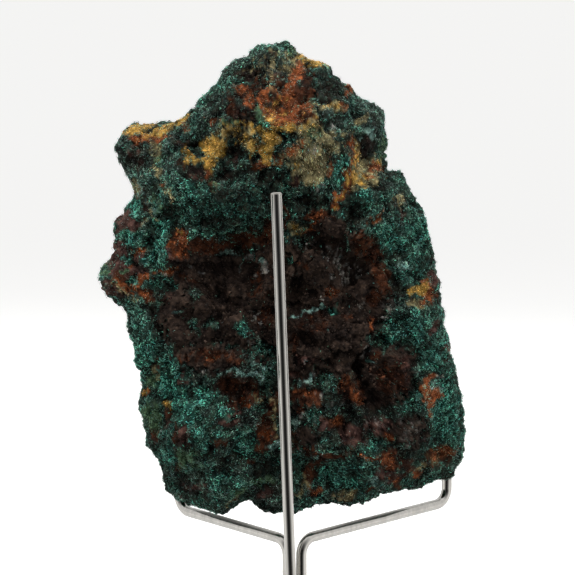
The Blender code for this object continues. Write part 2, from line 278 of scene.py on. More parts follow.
# Each row is a patch: x, z, half width and half height in tenths of a mm, then, unless they
# are 100 and 0, the strength in percent and the turn in degrees.
NEAR_PATCHES: dict[Kind, list[Row]] = {Mineral.LIMONITE: [
    (-86, 408, 22, 13, 50, 20), (-74, 364, 11, 22, 50), (-54, 426, 18, 9, 45, -10),
    (-110, 444, 42, 30, 62), (-238, 384, 28, 18, 62), (28, 384, 14, 18, 50), (106, 500, 34, 36, 42),
    (-130, 362, 24, 18, 52), (52, 526, 22, 26, 62), (-86, 544, 26, 16, 56), (190, 370, 20, 34, 60),
    (-210, 316, 26, 20, 62), (20, 296, 16, 22, 60), (-130, 306, 20, 16, 52), (-165, 55, 120, 84),
    (-246, 106, 24, 34), (-230, -30, 76, 70), (-130, -50, 90, 70), (-35, 30, 50, 130),
    (55, 50, 90, 100), (135, 85, 94, 90), (110, 170, 46, 38), (190, 30, 60, 84), (70, -70, 110, 80),
    (156, -50, 56, 64), (140, -130, 86, 48), (-176, -128, 86, 36), (-120, -202, 48, 36),
    (36, -154, 54, 46), (200, -175, 34, 70), (260, -170, 54, 66), (54, -324, 30, 30, 80),
    (302, -312, 48, 46, 68), (-50, -135, 30, 14, 70), (220, -235, 30, 20),
    (-370, 74, 56, 34, 75, -10), (-376, 186, 28, 30, 80), (-380, 126, 26, 26, 80),
    (-400, 26, 44, 16, 70, -38), (246, -300, 42, 28, 70), (50, -230, 44, 24, 80, -20),
    (30, -246, 24, 18, 70),
], Mineral.MAROON: [
    (-24, 540, 24, 26, 45), (-124, 338, 18, 10, 50), (-204, 298, 18, 10, 52), (22, 290, 12, 20, 60),
    (-30, 584, 26, 12, 42), (-164, 284, 14, 18, 50), (-346, 356, 20, 22, 60),
    (-340, 324, 14, 14, 50), (-380, 200, 26, 20), (-374, 178, 24, 16), (-386, 136, 24, 18),
    (-402, 110, 10, 18, 80), (-380, 78, 44, 22, 95, -8), (-410, 80, 14, 14),
    (-414, 38, 30, 12, 80, -36), (-342, 108, 14, 10), (-262, 116, 14, 18), (-290, 14, 24, 10, 60),
    (-242, -180, 7, 15, 75), (-284, -286, 9, 22), (-242, -320, 15, 24), (-130, -289, 20, 9, 100, 5),
    (-114, -264, 12, 10, 80), (-128, -244, 18, 9, 100, -10), (100, -292, 30, 10, 100, 5),
    (153, -315, 28, 25), (224, -288, 38, 26, 80), (240, -416, 32, 18, 80),
    (362, -54, 18, 10, 100, 20), (352, 64, 12, 18), (386, -116, 9, 26, 70, 8),
    (-220, -450, 36, 16, 50), (274, 216, 12, 30, 55, 8), (-50, -464, 14, 11),
    (50, -136, 34, 16, 60), (26, -176, 22, 12, 70), (280, -166, 22, 44, 70), (196, -334, 20, 8, 60),
    (26, -364, 10, 14, 60), (-360, -330, 10, 20, 40), (244, -244, 34, 14, 50),
    (86, 200, 24, 16, 50),
], Mineral.RUST: [
    (-388, 70, 32, 13, 60, -20), (-406, 46, 24, 10, 60, -35), (-364, 96, 14, 10, 50),
    (-126, 462, 20, 16, 75), (-96, 446, 20, 14, 55), (-98, 508, 30, 16, 62), (-84, 484, 18, 24, 75),
    (28, 488, 30, 22, 115, 10), (58, 504, 20, 12, 72), (56, 534, 16, 18, 58),
    (-46, 490, 80, 64, 56), (-10, 454, 40, 26, 70), (40, 450, 34, 26, 80), (20, 370, 16, 24, 52),
    (-128, 490, 24, 22, 50), (-160, 406, 18, 6, 50, -8), (-170, 294, 12, 20, 62),
    (108, 334, 12, 26, 50), (-240, 340, 14, 20, 42), (-320, 386, 40, 8, 50), (-330, 226, 5, 26, 90),
    (-342, 262, 8, 16, 90, 25), (-350, 190, 24, 4, 60, 35), (-252, 154, 18, 30, 80),
    (-244, 124, 20, 22, 90, 20), (-180, 136, 60, 15, 110, 2), (-80, 154, 50, 19, 110, 3),
    (-34, 174, 16, 30), (74, 206, 36, 15), (3, 204, 8, 22), (182, 140, 28, 24, 72),
    (214, 108, 30, 22, 80), (232, 60, 16, 36, 95), (216, 20, 12, 26, 90, -35),
    (104, 24, 17, 16, 75), (40, 94, 20, 10, 60), (-70, 56, 26, 20, 55), (-60, 26, 26, 18, 55),
    (-24, 80, 12, 30, 50), (-226, 58, 26, 12, 60), (203, -50, 9, 28, 90), (214, -122, 12, 8, 90),
    (144, -36, 14, 12, 55), (70, -46, 60, 34, 50), (-40, -34, 20, 34, 55), (24, -94, 18, 26, 60),
    (-190, -126, 54, 20, 62), (-120, -134, 36, 12, 60), (-116, -198, 44, 24, 85),
    (-80, -224, 34, 20, 75), (-130, -242, 20, 10, 80, -15), (-148, -338, 14, 9, 70),
    (-40, -310, 24, 36), (-54, -348, 20, 12), (-24, -250, 20, 44, 75), (46, -224, 48, 20, 100, -22),
    (34, -260, 24, 14, 60), (156, -212, 28, 38, 100, 25), (122, -284, 24, 14, 95),
    (254, -180, 44, 52, 72), (120, -368, 50, 7, 100, 14), (88, -384, 30, 7, 100, 35),
    (60, -360, 30, 16, 55, 20), (250, -376, 32, 22), (296, -400, 36, 12, 100, -14),
    (314, -414, 18, 10, 80), (58, -418, 18, 26), (70, -462, 20, 12, 80), (-314, -316, 8, 24, 85),
    (-260, -316, 5, 26, 90, 10), (-259, -380, 5, 34, 85, 4), (-306, -154, 8, 34, 70),
    (-250, -136, 6, 18, 80), (270, -430, 14, 16), (-78, -385, 11, 7), (-284, -260, 8, 7),
    (-56, -270, 12, 8, 60), (20, -336, 16, 24, 55), (250, -326, 18, 12, 60),
    (190, 180, 10, 30, 50, -30), (370, -372, 48, 22, 80, 22), (334, -220, 14, 26, 70),
    (334, 16, 30, 26, 60), (-380, 50, 44, 14, 80, -36), (-366, 94, 16, 8, 70),
    (-326, 24, 24, 16, 70), (200, -448, 12, 6, 80), (150, -468, 34, 6, 70, 15),
    (-126, -482, 22, 7, 70, 40),
], Mineral.CLAY: [
    (-40, 564, 60, 36, 34), (18, 570, 24, 34, 50, -20), (-30, 500, 30, 30, 34),
    (66, 470, 26, 12, 40), (106, 465, 34, 9, 80, 8), (58, 440, 24, 15, 42), (60, 410, 30, 26, 72),
    (50, 370, 34, 30, 62), (56, 330, 46, 38, 95), (68, 298, 28, 17), (104, 376, 34, 26, 62),
    (186, 312, 34, 34, 78), (176, 364, 16, 30, 62), (184, 437, 18, 11, 85, 20),
    (-110, 404, 64, 15, 58), (-80, 378, 34, 20, 62), (164, 282, 22, 16, 64), (140, 406, 20, 12, 44),
    (10, 348, 28, 18, 62), (-14, 594, 30, 12, 46), (-304, 364, 8, 18, 70), (-302, 316, 8, 24, 70),
    (-272, 260, 7, 22, 80, 18), (-354, 276, 9, 18, 80, 25), (-334, 196, 16, 4, 80, 35),
    (-310, 220, 5, 24, 50, 20), (-386, 32, 50, 10, 46, -38), (32, 174, 24, 20, 50),
    (-16, -270, 16, 60, 40), (366, -374, 46, 18, 46, 22), (334, -208, 14, 24, 62),
    (314, -2, 22, 9, 80), (-306, -166, 7, 30, 50), (-128, -480, 24, 7, 58, 40),
    (34, -464, 20, 9, 42), (146, -467, 34, 6, 58, 15), (270, 252, 8, 20, 70),
    (-46, -224, 24, 24, 38), (42, -436, 18, 16, 38), (330, -390, 24, 8, 42, 20),
], Mineral.ORANGE: [
    (26, 542, 15, 26, 95, -28), (9, 512, 12, 24, 80, -28), (4, 480, 10, 22, 80, -15),
    (-8, 466, 46, 44, 54), (-14, 454, 32, 16, 75), (0, 436, 36, 16, 95), (40, 434, 20, 12, 60),
    (-82, 486, 12, 20, 70), (-46, 494, 14, 22, 75), (-52, 470, 14, 14, 75), (44, 464, 18, 10, 60),
    (-102, 510, 18, 9, 56), (155, 516, 7, 17), (134, 472, 9, 7, 62), (34, 576, 12, 18, 60, -28),
    (-52, 328, 24, 13, 90), (-24, 334, 20, 10, 80), (16, 350, 16, 14, 66, -20),
    (34, 374, 9, 16, 60), (106, 326, 8, 20, 66), (156, 374, 11, 24, 76), (162, 340, 14, 24, 92),
    (156, 312, 11, 20, 92, -10), (142, 286, 11, 24, 92, -28), (122, 252, 10, 26, 88, -33),
    (216, 322, 17, 13, 92, 25), (198, 308, 16, 10, 56), (-178, 316, 11, 22, 88),
    (-234, 418, 16, 7, 50, -10), (-30, 398, 16, 14, 50), (6, 364, 30, 26, 49),
    (-176, 436, 16, 9, 48, -10), (-60, 364, 20, 10, 50), (-296, 398, 24, 9, 100, 15),
    (-340, 394, 26, 8, 90), (-290, 288, 6, 9), (-250, 164, 10, 18), (-266, 140, 10, 12, 90),
    (-238, 134, 14, 22, 85), (-332, 128, 20, 9, 100, 15), (-334, 54, 18, 12, 100, 15),
    (-356, 38, 14, 12, 80, -20), (-282, 74, 28, 8, 95, 8), (-326, 22, 9, 9),
    (-388, 48, 32, 8, 90, -38), (-368, 90, 10, 7, 60), (76, 208, 24, 8, 62, 20),
    (66, 180, 20, 5, 70, 45), (224, 206, 5, 20, 80, -38), (102, 22, 9, 8, 60),
    (202, -52, 5, 20, 90), (334, 26, 16, 24), (350, 14, 8, 14, 80), (348, -180, 18, 10, 130, 20),
    (358, -226, 17, 16, 140), (346, -238, 14, 15), (350, -260, 8, 14), (332, -206, 12, 24, 80),
    (-92, -233, 16, 9), (-40, -318, 12, 18, 62), (173, -232, 11, 18, 85, 15),
    (150, -206, 14, 24, 50, 25), (126, -284, 11, 10, 95), (252, -382, 24, 16, 72),
    (250, -326, 8, 6, 80), (202, -374, 20, 6, 80), (70, -463, 14, 9, 80), (202, -446, 8, 5),
    (-340, -212, 9, 12, 85), (48, -216, 28, 9, 55, -22), (314, -412, 12, 8, 70),
    (380, -366, 36, 16, 55, 20), (-174, -134, 18, 8, 42), (-18, -366, 8, 10, 60),
    (266, -432, 8, 10, 70), (26, -210, 14, 6, 60),
], Mineral.OCHRE: [
    (-172, 322, 8, 17, 95), (70, 574, 26, 11, 100, -15), (76, 560, 14, 8, 85),
    (44, 588, 14, 10, 76), (-39, 390, 20, 19, 120), (-43, 364, 14, 22, 95), (-18, 416, 26, 11, 82),
    (16, 410, 18, 10, 70), (-56, 414, 14, 12, 80), (-30, 440, 16, 10, 52), (-12, 466, 34, 36, 34),
    (20, 424, 30, 14, 40), (60, 446, 20, 10, 45), (60, 414, 24, 18, 52), (-80, 374, 26, 13, 62),
    (-90, 392, 34, 7, 52), (-76, 372, 46, 24, 45), (-100, 404, 70, 24, 45), (-126, 426, 32, 9, 58),
    (-175, 380, 21, 11), (-172, 362, 23, 22, 130), (-172, 338, 14, 20, 120),
    (-204, 348, 28, 8, 70, 12), (-226, 360, 8, 14, 82), (-150, 380, 14, 10, 60),
    (-250, 433, 30, 10, 80, 18), (-34, 332, 26, 8, 52), (174, 366, 12, 26, 62),
    (164, 336, 12, 22, 70), (226, 334, 12, 10, 64), (108, 466, 24, 7, 52, 8), (26, 324, 16, 9, 52),
    (143, 284, 7, 22, 62, -28), (123, 250, 5, 22, 58, -33), (170, 294, 26, 16, 60),
    (-354, 418, 32, 12, 80), (-310, 410, 30, 9, 80, -5), (-276, 416, 24, 8, 80, 15),
    (314, 32, 14, 14), (330, 40, 8, 7, 80), (30, 180, 16, 9, 56), (36, 160, 10, 7, 50),
    (-284, -242, 10, 8), (-341, -213, 6, 9, 70), (-250, 172, 5, 8, 70), (-320, 396, 20, 5, 60),
    (-230, 386, 10, 5, 50, 20),
], Mineral.MOSS: [
    (-162, 288, 11, 18, 45), (-60, 440, 9, 28, 80, 8), (66, 404, 24, 18, 56),
    (232, 364, 14, 28, 70), (14, 596, 16, 10, 52), (-136, 430, 30, 10, 52), (-250, 444, 20, 7, 52),
    (-322, -272, 20, 36, 90, 8), (-320, -244, 14, 14, 60), (-242, -376, 18, 24, 90),
    (-220, -394, 30, 7, 60), (-50, -434, 34, 9, 85, 8), (-118, -458, 24, 6, 80, 25),
    (-430, 82, 10, 14), (-376, 78, 10, 6, 80), (-302, 236, 6, 24, 50, 15), (-316, -186, 12, 20, 60),
    (-300, 340, 10, 24, 50),
], Mineral.ASH: [
    (6, 389, 15, 4, 75, 30), (94, 282, 24, 10, 44), (69, 360, 16, 18, 42), (110, 420, 8, 22, 38),
    (120, 110, 44, 30, 46, -20), (154, 86, 30, 16, 50, -20), (180, -4, 20, 14, 42),
    (66, 136, 34, 14, 38), (190, -124, 5, 24, 70, -30), (52, -139, 7, 8, 85), (74, -164, 4, 12, 80),
    (-80, 114, 9, 6), (-47, 88, 8, 10), (-72, 65, 7, 3), (-230, 84, 9, 4), (-287, 67, 5, 4),
    (-200, 71, 4, 3), (-50, -44, 3, 3), (84, 7, 3, 3), (-66, -26, 12, 4, 90, 25),
    (244, -20, 24, 34, 38), (300, -314, 38, 34, 34), (220, -276, 44, 24, 34),
    (150, -254, 44, 16, 44), (90, -226, 24, 20, 42), (274, -284, 3, 9, 80), (36, -268, 9, 4, 70),
    (374, -176, 6, 6, 90), (-106, 86, 7, 5, 80, 30), (-84, -89, 12, 4, 60), (188, 69, 4, 5),
    (140, 60, 34, 24, 38), (240, -26, 10, 30, 42, -30), (-194, -166, 16, 10, 42),
], Mineral.PALE: [
    (200, 402, 22, 5, 52), (34, -21, 30, 3.5, 130, 5), (80, -12, 20, 5, 80, 12),
    (278, 86, 22, 6, 130, 3), (-134, 120, 30, 4, 90), (-132, -162, 28, 3, 140, 8),
    (-96, -166, 22, 3, 140, -10), (-76, -174, 12, 7), (-52, -186, 16, 3, 130, -30),
    (-58, -146, 24, 3, 130, -8), (-250, -18, 13, 5, 70), (212, -142, 9, 5, 70, 5),
    (210, -430, 16, 8), (64, -178, 8, 10, 70, -30), (-26, -342, 14, 7, 90), (26, -294, 9, 10),
    (-238, -144, 8, 8, 90), (-52, 99, 14, 5, 60), (-340, 258, 14, 2.5, 80, -45),
    (-308, 228, 16, 2.5, 70, -45), (360, -204, 18, 4, 70, -30), (38, -192, 12, 4, 70),
], Mineral.FELT: [
    (-12, 368, 18, 14, 92), (3, 386, 15, 13), (49, 567, 9, 9), (132, 320, 16, 28, 90),
    (-202, 363, 12, 10), (-116, 356, 24, 12, 50), (-216, 24, 26, 19, 62), (-208, -56, 14, 16),
    (-172, -50, 12, 12), (-100, -44, 12, 18), (-88, -66, 14, 14), (-62, -94, 14, 10),
    (-42, -110, 18, 12), (-126, -108, 18, 8, 90, 15), (116, -19, 12, 15), (16, 100, 9, 16),
    (102, -202, 16, 34, 90), (76, -274, 14, 12), (216, -336, 20, 14, 100, -30),
    (204, -357, 34, 8, 100, -4), (204, -88, 8, 16), (144, 140, 7, 16, 80), (-286, 48, 32, 13),
    (-364, 49, 12, 10), (-376, 108, 16, 9), (-326, 42, 9, 7), (-360, 152, 30, 16),
    (-160, -90, 20, 10, 50), (318, -376, 18, 14), (-156, 30, 12, 20, 40), (146, -260, 40, 14, 75),
    (106, -322, 16, 12), (314, 18, 8, 5), (36, -386, 18, 26, 70), (-64, -254, 26, 14, 70),
    (-242, -214, 8, 8, 80), (-310, 120, 24, 40, 90),
], Trait.BRIGHT: [
    (-342, -60, 26, 130, 60), (-394, 60, 50, 50, 80), (-380, 190, 30, 30, 50),
    (-30, 460, 70, 60, 15), (-120, 148, 110, 22, 95, 3), (374, -374, 50, 30, 80, 20),
    (220, 40, 30, 60, 50), (-40, 609, 50, 12), (-110, 580, 40, 10), (-186, 504, 40, 14, 70, 40),
    (-198, 486, 14, 14, 70), (114, 416, 14, 26, 70), (96, 284, 32, 14, 80), (130, 318, 16, 30, 70),
    (-254, 278, 34, 40, 40), (120, 100, 90, 70, 90), (206, 402, 30, 9, 60), (6, 384, 12, 10, 70),
    (146, 524, 8, 12, 70), (204, 466, 22, 12, 40), (-172, 360, 24, 34), (-40, 380, 20, 30, 70),
    (56, 330, 40, 36, 60), (164, 326, 16, 40, 60), (-320, 414, 60, 14, 50), (-364, 234, 18, 22, 90),
    (-358, 152, 28, 15), (-290, 150, 22, 50, 70), (-306, 96, 20, 16, 80), (-336, -44, 18, 24, 70),
    (-328, -104, 14, 40, 50), (-276, -166, 24, 54, 90), (-246, -238, 20, 40, 80),
    (-192, -216, 28, 26, 80), (-218, -286, 36, 26, 80), (-186, -320, 24, 36, 55),
    (-146, -258, 16, 14, 70), (-96, -346, 20, 24, 70), (-160, -432, 28, 16, 80),
    (-120, -450, 30, 8, 50, 20), (-50, -436, 30, 8, 60, 5), (-284, -364, 14, 16, 50),
    (176, 264, 26, 24, 75), (226, 156, 26, 26, 90), (246, 180, 24, 16, 70), (276, 86, 26, 10, 80),
    (310, 160, 26, 60, 60), (286, -74, 34, 16, 80), (314, -46, 30, 20, 40), (316, -156, 16, 24, 60),
    (296, -246, 22, 16, 80), (348, -216, 26, 50, 90), (380, -270, 28, 60, 80),
    (364, -130, 24, 40, 45), (116, -19, 10, 12, 70), (-46, -110, 16, 10, 60),
    (-208, -56, 12, 12, 50), (76, -272, 14, 12, 70), (134, -256, 24, 8, 50),
    (210, -350, 20, 12, 40), (120, -414, 40, 24, 40), (-240, 196, 16, 16, 60),
    (340, 200, 14, 60, 40), (-390, 356, 10, 30, 40),
# Pits: sunk surface, thinner felt and painted shade.
], Trait.DARK: [
    (226, 274, 22, 24, 60, 20), (166, 202, 22, 20, 50), (252, 118, 20, 15, 50),
    (268, 46, 16, 14, 50), (180, 284, 20, 16, 45), (-190, -126, 50, 20, 30), (-40, 574, 70, 32, 30),
    (150, -310, 40, 34, 50), (220, -290, 40, 30, 50), (150, -254, 110, 44, 35),
    (50, -226, 40, 26, 40, -20), (-120, -204, 50, 26, 50), (-130, -150, 60, 5, 70, 4),
    (60, -74, 110, 54, 60), (270, -170, 50, 54, 60), (-90, 546, 26, 14, 80), (-94, 436, 28, 30, 75),
    (-76, 426, 10, 18, 70), (106, 508, 32, 32, 70), (120, 540, 24, 12, 70), (48, 518, 14, 20, 60),
    (50, 568, 8, 8, 90), (192, 372, 18, 34, 90), (198, 334, 12, 12, 70), (116, 428, 22, 12, 50),
    (144, 254, 14, 18), (-210, 380, 20, 9), (-206, 318, 26, 18), (-240, 384, 20, 14, 75),
    (-126, 354, 26, 16), (-126, 304, 20, 14, 70), (-86, 324, 14, 10, 90), (-202, 363, 8, 7, 90),
    (-90, 413, 70, 4, 80, -2), (-130, 396, 40, 3.5, 70), (-90, 386, 40, 3, 60, 5),
    (-6, 394, 9, 6, 90), (18, 390, 7, 12, 90), (-64, 346, 16, 5, 90), (-16, 348, 16, 4, 80),
    (30, 382, 8, 16, 60), (22, 296, 16, 22, 85), (-20, 294, 50, 16, 60), (60, 268, 40, 10, 50),
    (138, 436, 16, 16, 50), (-160, 460, 8, 30, 50), (166, 448, 8, 14, 60), (88, 440, 12, 12, 60),
    (-246, 326, 16, 20, 50), (226, 280, 24, 20, 65), (-336, 332, 16, 12, 60), (-384, 370, 8, 7, 80),
    (-310, 270, 10, 10, 80), (-276, 216, 20, 20, 75), (-266, 180, 9, 22, 80),
    (-318, 174, 9, 24, 75), (-356, 198, 14, 10, 70), (-394, 110, 10, 8, 60), (-324, -8, 14, 10),
    (-344, 88, 10, 8, 70), (-280, 42, 12, 7, 80), (-130, 260, 26, 24, 50), (-50, 264, 50, 20, 50),
    (60, 244, 40, 14, 75), (-160, 194, 40, 14, 50), (160, 226, 16, 26, 70), (140, 176, 10, 20, 60),
    (-170, 90, 36, 12), (-150, 34, 24, 26, 75), (-136, -74, 30, 18, 80), (-140, 6, 16, 6, 80, -20),
    (222, -40, 16, 34), (260, 30, 20, 22, 70), (246, 54, 6, 24, 60), (140, -83, 50, 8, 100, 5),
    (130, -118, 40, 4, 100, -20), (198, -180, 16, 44), (130, -168, 50, 5, 100, -8),
    (106, -144, 5, 20, 80, 30), (24, -138, 12, 10, 80), (28, -174, 20, 10, 90),
    (-114, -212, 20, 9, 80), (-304, -136, 4, 40, 70), (-256, -174, 5, 34, 70, 15),
    (-278, -228, 18, 5, 80, 15), (-224, -214, 4, 30, 70), (-288, -276, 4, 24, 70),
    (-246, -334, 8, 10), (-254, -270, 12, 7, 70, -20), (-194, -266, 24, 10, 60),
    (-198, -290, 16, 4, 60), (-178, -362, 6, 22, 100, -38), (-116, -364, 10, 16, 70, 30),
    (-44, -406, 34, 16, 80), (-148, -398, 14, 24, 50), (-188, -334, 20, 6, 50),
    (-240, -430, 24, 16, 60), (-200, -470, 30, 6, 60, -20), (304, -362, 36, 8, 80),
    (320, -378, 14, 10, 60), (106, -320, 10, 7, 90), (180, -306, 10, 20, 70, 30),
    (240, -346, 16, 5, 70), (84, -330, 30, 5, 60, -10), (100, -350, 40, 4, 80, 15),
    (160, -420, 20, 10, 50), (10, 230, 120, 12, 50), (270, -40, 24, 7, 50), (334, -94, 16, 16, 50),
    (-250, 50, 14, 7, 50), (366, -172, 10, 12, 50), (310, 240, 10, 30, 40),
], Trait.VIVID: [
    (-200, 484, 16, 16, 70), (130, 320, 18, 30, 80), (4, 394, 14, 8, 50), (-250, 270, 40, 50, 70),
    (100, 286, 18, 14, 50), (-362, 232, 22, 24), (-294, 146, 28, 74, 90), (-360, 154, 30, 18, 90),
    (180, 260, 34, 34, 70), (236, 150, 40, 44, 90), (310, 140, 30, 120, 60), (290, -70, 64, 50, 95),
    (380, -260, 40, 80, 95), (364, -120, 36, 60, 75), (-280, -164, 34, 60, 90),
    (-334, -100, 24, 60, 80), (-246, -250, 36, 54, 90), (-194, -220, 36, 34, 80),
    (-196, -316, 40, 44, 75), (-160, -430, 40, 24, 85), (-96, -344, 30, 32, 75),
    (-144, -258, 18, 16, 70), (130, -416, 64, 40, 75), (-46, -110, 30, 20, 90),
    (-94, -56, 20, 30, 80), (116, -19, 14, 16, 90), (214, -344, 34, 22, 85), (-286, 48, 32, 15, 80),
    (296, -244, 28, 22, 90), (-120, 210, 80, 50, 50), (-200, 250, 50, 40, 50),
    (76, -274, 20, 18, 90), (-284, -354, 22, 32, 80), (-376, 108, 18, 12, 70),
    (-364, 49, 12, 12, 80), (36, -388, 20, 26, 60),
], Trait.DULL: [
    (-285, 315, 60, 65, 50), (-130, 306, 70, 30, 35), (150, -270, 120, 60, 60),
    (-180, 450, 50, 50, 60), (-40, 540, 90, 70, 70), (206, 440, 40, 60, 60), (114, 416, 26, 36, 90),
    (110, 500, 36, 46, 75), (210, 370, 34, 34, 60), (-376, 340, 20, 60), (-330, 350, 44, 40, 75),
    (-334, -20, 22, 30, 50), (-90, -280, 50, 34, 70), (-30, -460, 50, 30, 70),
    (-140, -374, 40, 34, 50), (-220, -446, 50, 30, 75), (100, -244, 40, 20, 70),
    (160, -260, 60, 24, 70), (300, -300, 60, 50, 60), (260, 10, 34, 40, 75),
    (-190, -258, 24, 14, 85), (290, 240, 34, 50, 45), (-190, -180, 40, 14, 60),
    (-100, 186, 40, 10, 60), (226, 284, 30, 30, 60), (-336, 86, 14, 12, 80), (-220, 20, 26, 20, 60),
    (-336, 429, 26, 6, 80), (-290, 426, 30, 5, 70),
]}

FAR_PATCHES: dict[Kind, list[Row]] = {Mineral.LIMONITE: [
    (40, 100, 150, 50, 95, -18), (170, 30, 70, 40, 90, 10), (-70, 150, 70, 30, 80, 15),
    (-80, -340, 130, 44, 90, 12), (-200, -290, 60, 34, 80, -20), (220, -60, 50, 70, 80, 20),
    (290, -150, 34, 50, 75), (-340, 80, 60, 80, 80), (-300, -40, 34, 50, 70, 25),
], Mineral.MAROON: [
    (-360, 100, 60, 80, 80), (-310, 0, 34, 44, 70, 20), (-140, 340, 60, 22, 80, 30),
    (-70, 306, 30, 16, 70, 10), (300, 180, 26, 60, 70, 10), (120, 54, 40, 16, 70, -18),
], Mineral.RUST: [
    (100, 106, 90, 20, 80, -18), (0, 136, 60, 14, 80, -8), (-40, -370, 60, 18, 90, 12),
    (-150, -320, 44, 16, 80, -12), (0, 460, 60, 34, 75), (-60, 430, 50, 18, 70, 15),
    (240, -80, 20, 44, 80, 15), (-200, -120, 14, 60, 70, 20), (-330, 150, 20, 30, 80),
    (270, 300, 14, 40, 70, -12),
], Mineral.CLAY: [
    (-40, 510, 90, 34, 62, 12), (30, 476, 40, 20, 55, -15), (-20, -80, 50, 18, 50, -25),
    (280, -360, 60, 26, 70, 20), (220, 330, 20, 40, 55, -15), (80, -410, 50, 14, 55, 8),
], Mineral.ORANGE: [
    (40, 450, 24, 34, 75), (10, 496, 34, 12, 70, 20), (300, -360, 34, 14, 70, 20),
    (-240, 160, 16, 30, 80, 15), (-216, 124, 10, 20, 70, -10), (140, 90, 34, 9, 80, -20),
    (40, 126, 24, 7, 75, -12), (-60, -366, 26, 8, 80, 12), (210, 290, 9, 28, 70, -20),
    (-350, 60, 20, 9, 70, -30),
], Mineral.OCHRE: [
    (-90, 480, 36, 16, 85, 10), (-44, 466, 24, 9, 75, -15), (-320, 414, 50, 14, 90),
    (-260, 404, 30, 8, 80, -10), (-240, 300, 12, 26, 80, 12), (120, 520, 30, 10, 75, -30),
], Mineral.MOSS: [
    (240, -200, 50, 60, 75, 20), (-280, -200, 30, 80, 70, 8), (80, 280, 60, 16, 60, 10),
], Mineral.ASH: [
    (-20, 200, 60, 24, 40, 10), (140, -220, 50, 30, 40, -20), (60, 60, 50, 24, 45, -18),
], Mineral.PALE: [
    (-140, 60, 40, 5, 110, 30), (120, -100, 50, 4, 110, -20), (-60, -220, 30, 4, 100, 5),
    (-100, 86, 30, 4, 100, 15), (160, 240, 26, 4, 90, -10), (20, -316, 24, 4, 100, 8),
], Mineral.FELT: [
    (40, 156, 30, 16, 80, -15), (-120, -330, 30, 14, 80, 10), (200, 6, 20, 16, 80),
], Trait.BRIGHT: [
    (-200, -40, 60, 80, 70, 20), (160, 240, 70, 40, 70, 15), (60, -260, 90, 40, 70, -10),
    (-240, -360, 50, 60, 70, 20), (-140, 240, 60, 34, 60, -15), (320, 40, 30, 70, 60),
    (40, -140, 60, 30, 50, 20),
# Pits: sunk surface, thinner felt and painted shade.
], Trait.DARK: [
    (0, 54, 140, 14, 90, -18), (-100, -390, 90, 12, 90, 12), (-80, 380, 80, 12, 80, 8),
    (200, 20, 30, 24, 70), (-260, 60, 18, 50, 80, 12), (100, -180, 70, 9, 70, -25),
    (-160, -160, 9, 60, 70, 20), (220, 380, 40, 10, 70, -30), (300, -260, 10, 50, 70, 10),
], Trait.VIVID: [
    (-180, -60, 120, 140), (140, -240, 140, 90), (160, 240, 100, 80), (-240, -340, 80, 80),
], Trait.DULL: [
    (-80, 520, 140, 70, 70), (240, 340, 70, 80, 60), (-340, 340, 60, 60, 70),
]}


@dataclass(frozen=True)
class Comb:
    """A place where the needles lie one way: a patch in mm, and the way as x, z."""

    patch: Patch
    way: Range


COMBS: list[Comb] = [Comb(Patch(*patch), way) for *patch, way in (
    (7.0, 33.0, 8.0, 7.0, (0.25, -1.0)), (16.0, 33.0, 2.4, 7.0, (-0.3, -1.0)),
    (13.2, 27.4, 1.2, 4.6, 1.0, -31.0, (-0.5, -0.85)), (1.0, 54.0, 5.0, 5.0, 0.8, (0.45, 0.9)),
    (-9.0, 40.0, 8.0, 2.4, 0.9, (1.0, -0.1)), (30.0, 8.0, 6.0, 16.0, 0.5, (0.35, -0.95)),
    (15.0, 9.0, 5.0, 4.0, 0.8, (0.8, -0.6)), (-38.0, 4.0, 5.0, 3.0, 0.7, (0.8, -0.6)),
    (-30.0, 41.6, 8.0, 2.0, 0.8, (1.0, 0.15)), (-17.2, 34.0, 2.4, 5.0, 0.7, (0.1, -1.0)),
)]


@dataclass(frozen=True)
class Warp:
    """Sideways shift of the stains along one axis: broad, fine, and the stray at the back."""

    broad: Pattern
    fine: Pattern
    stray: Pattern


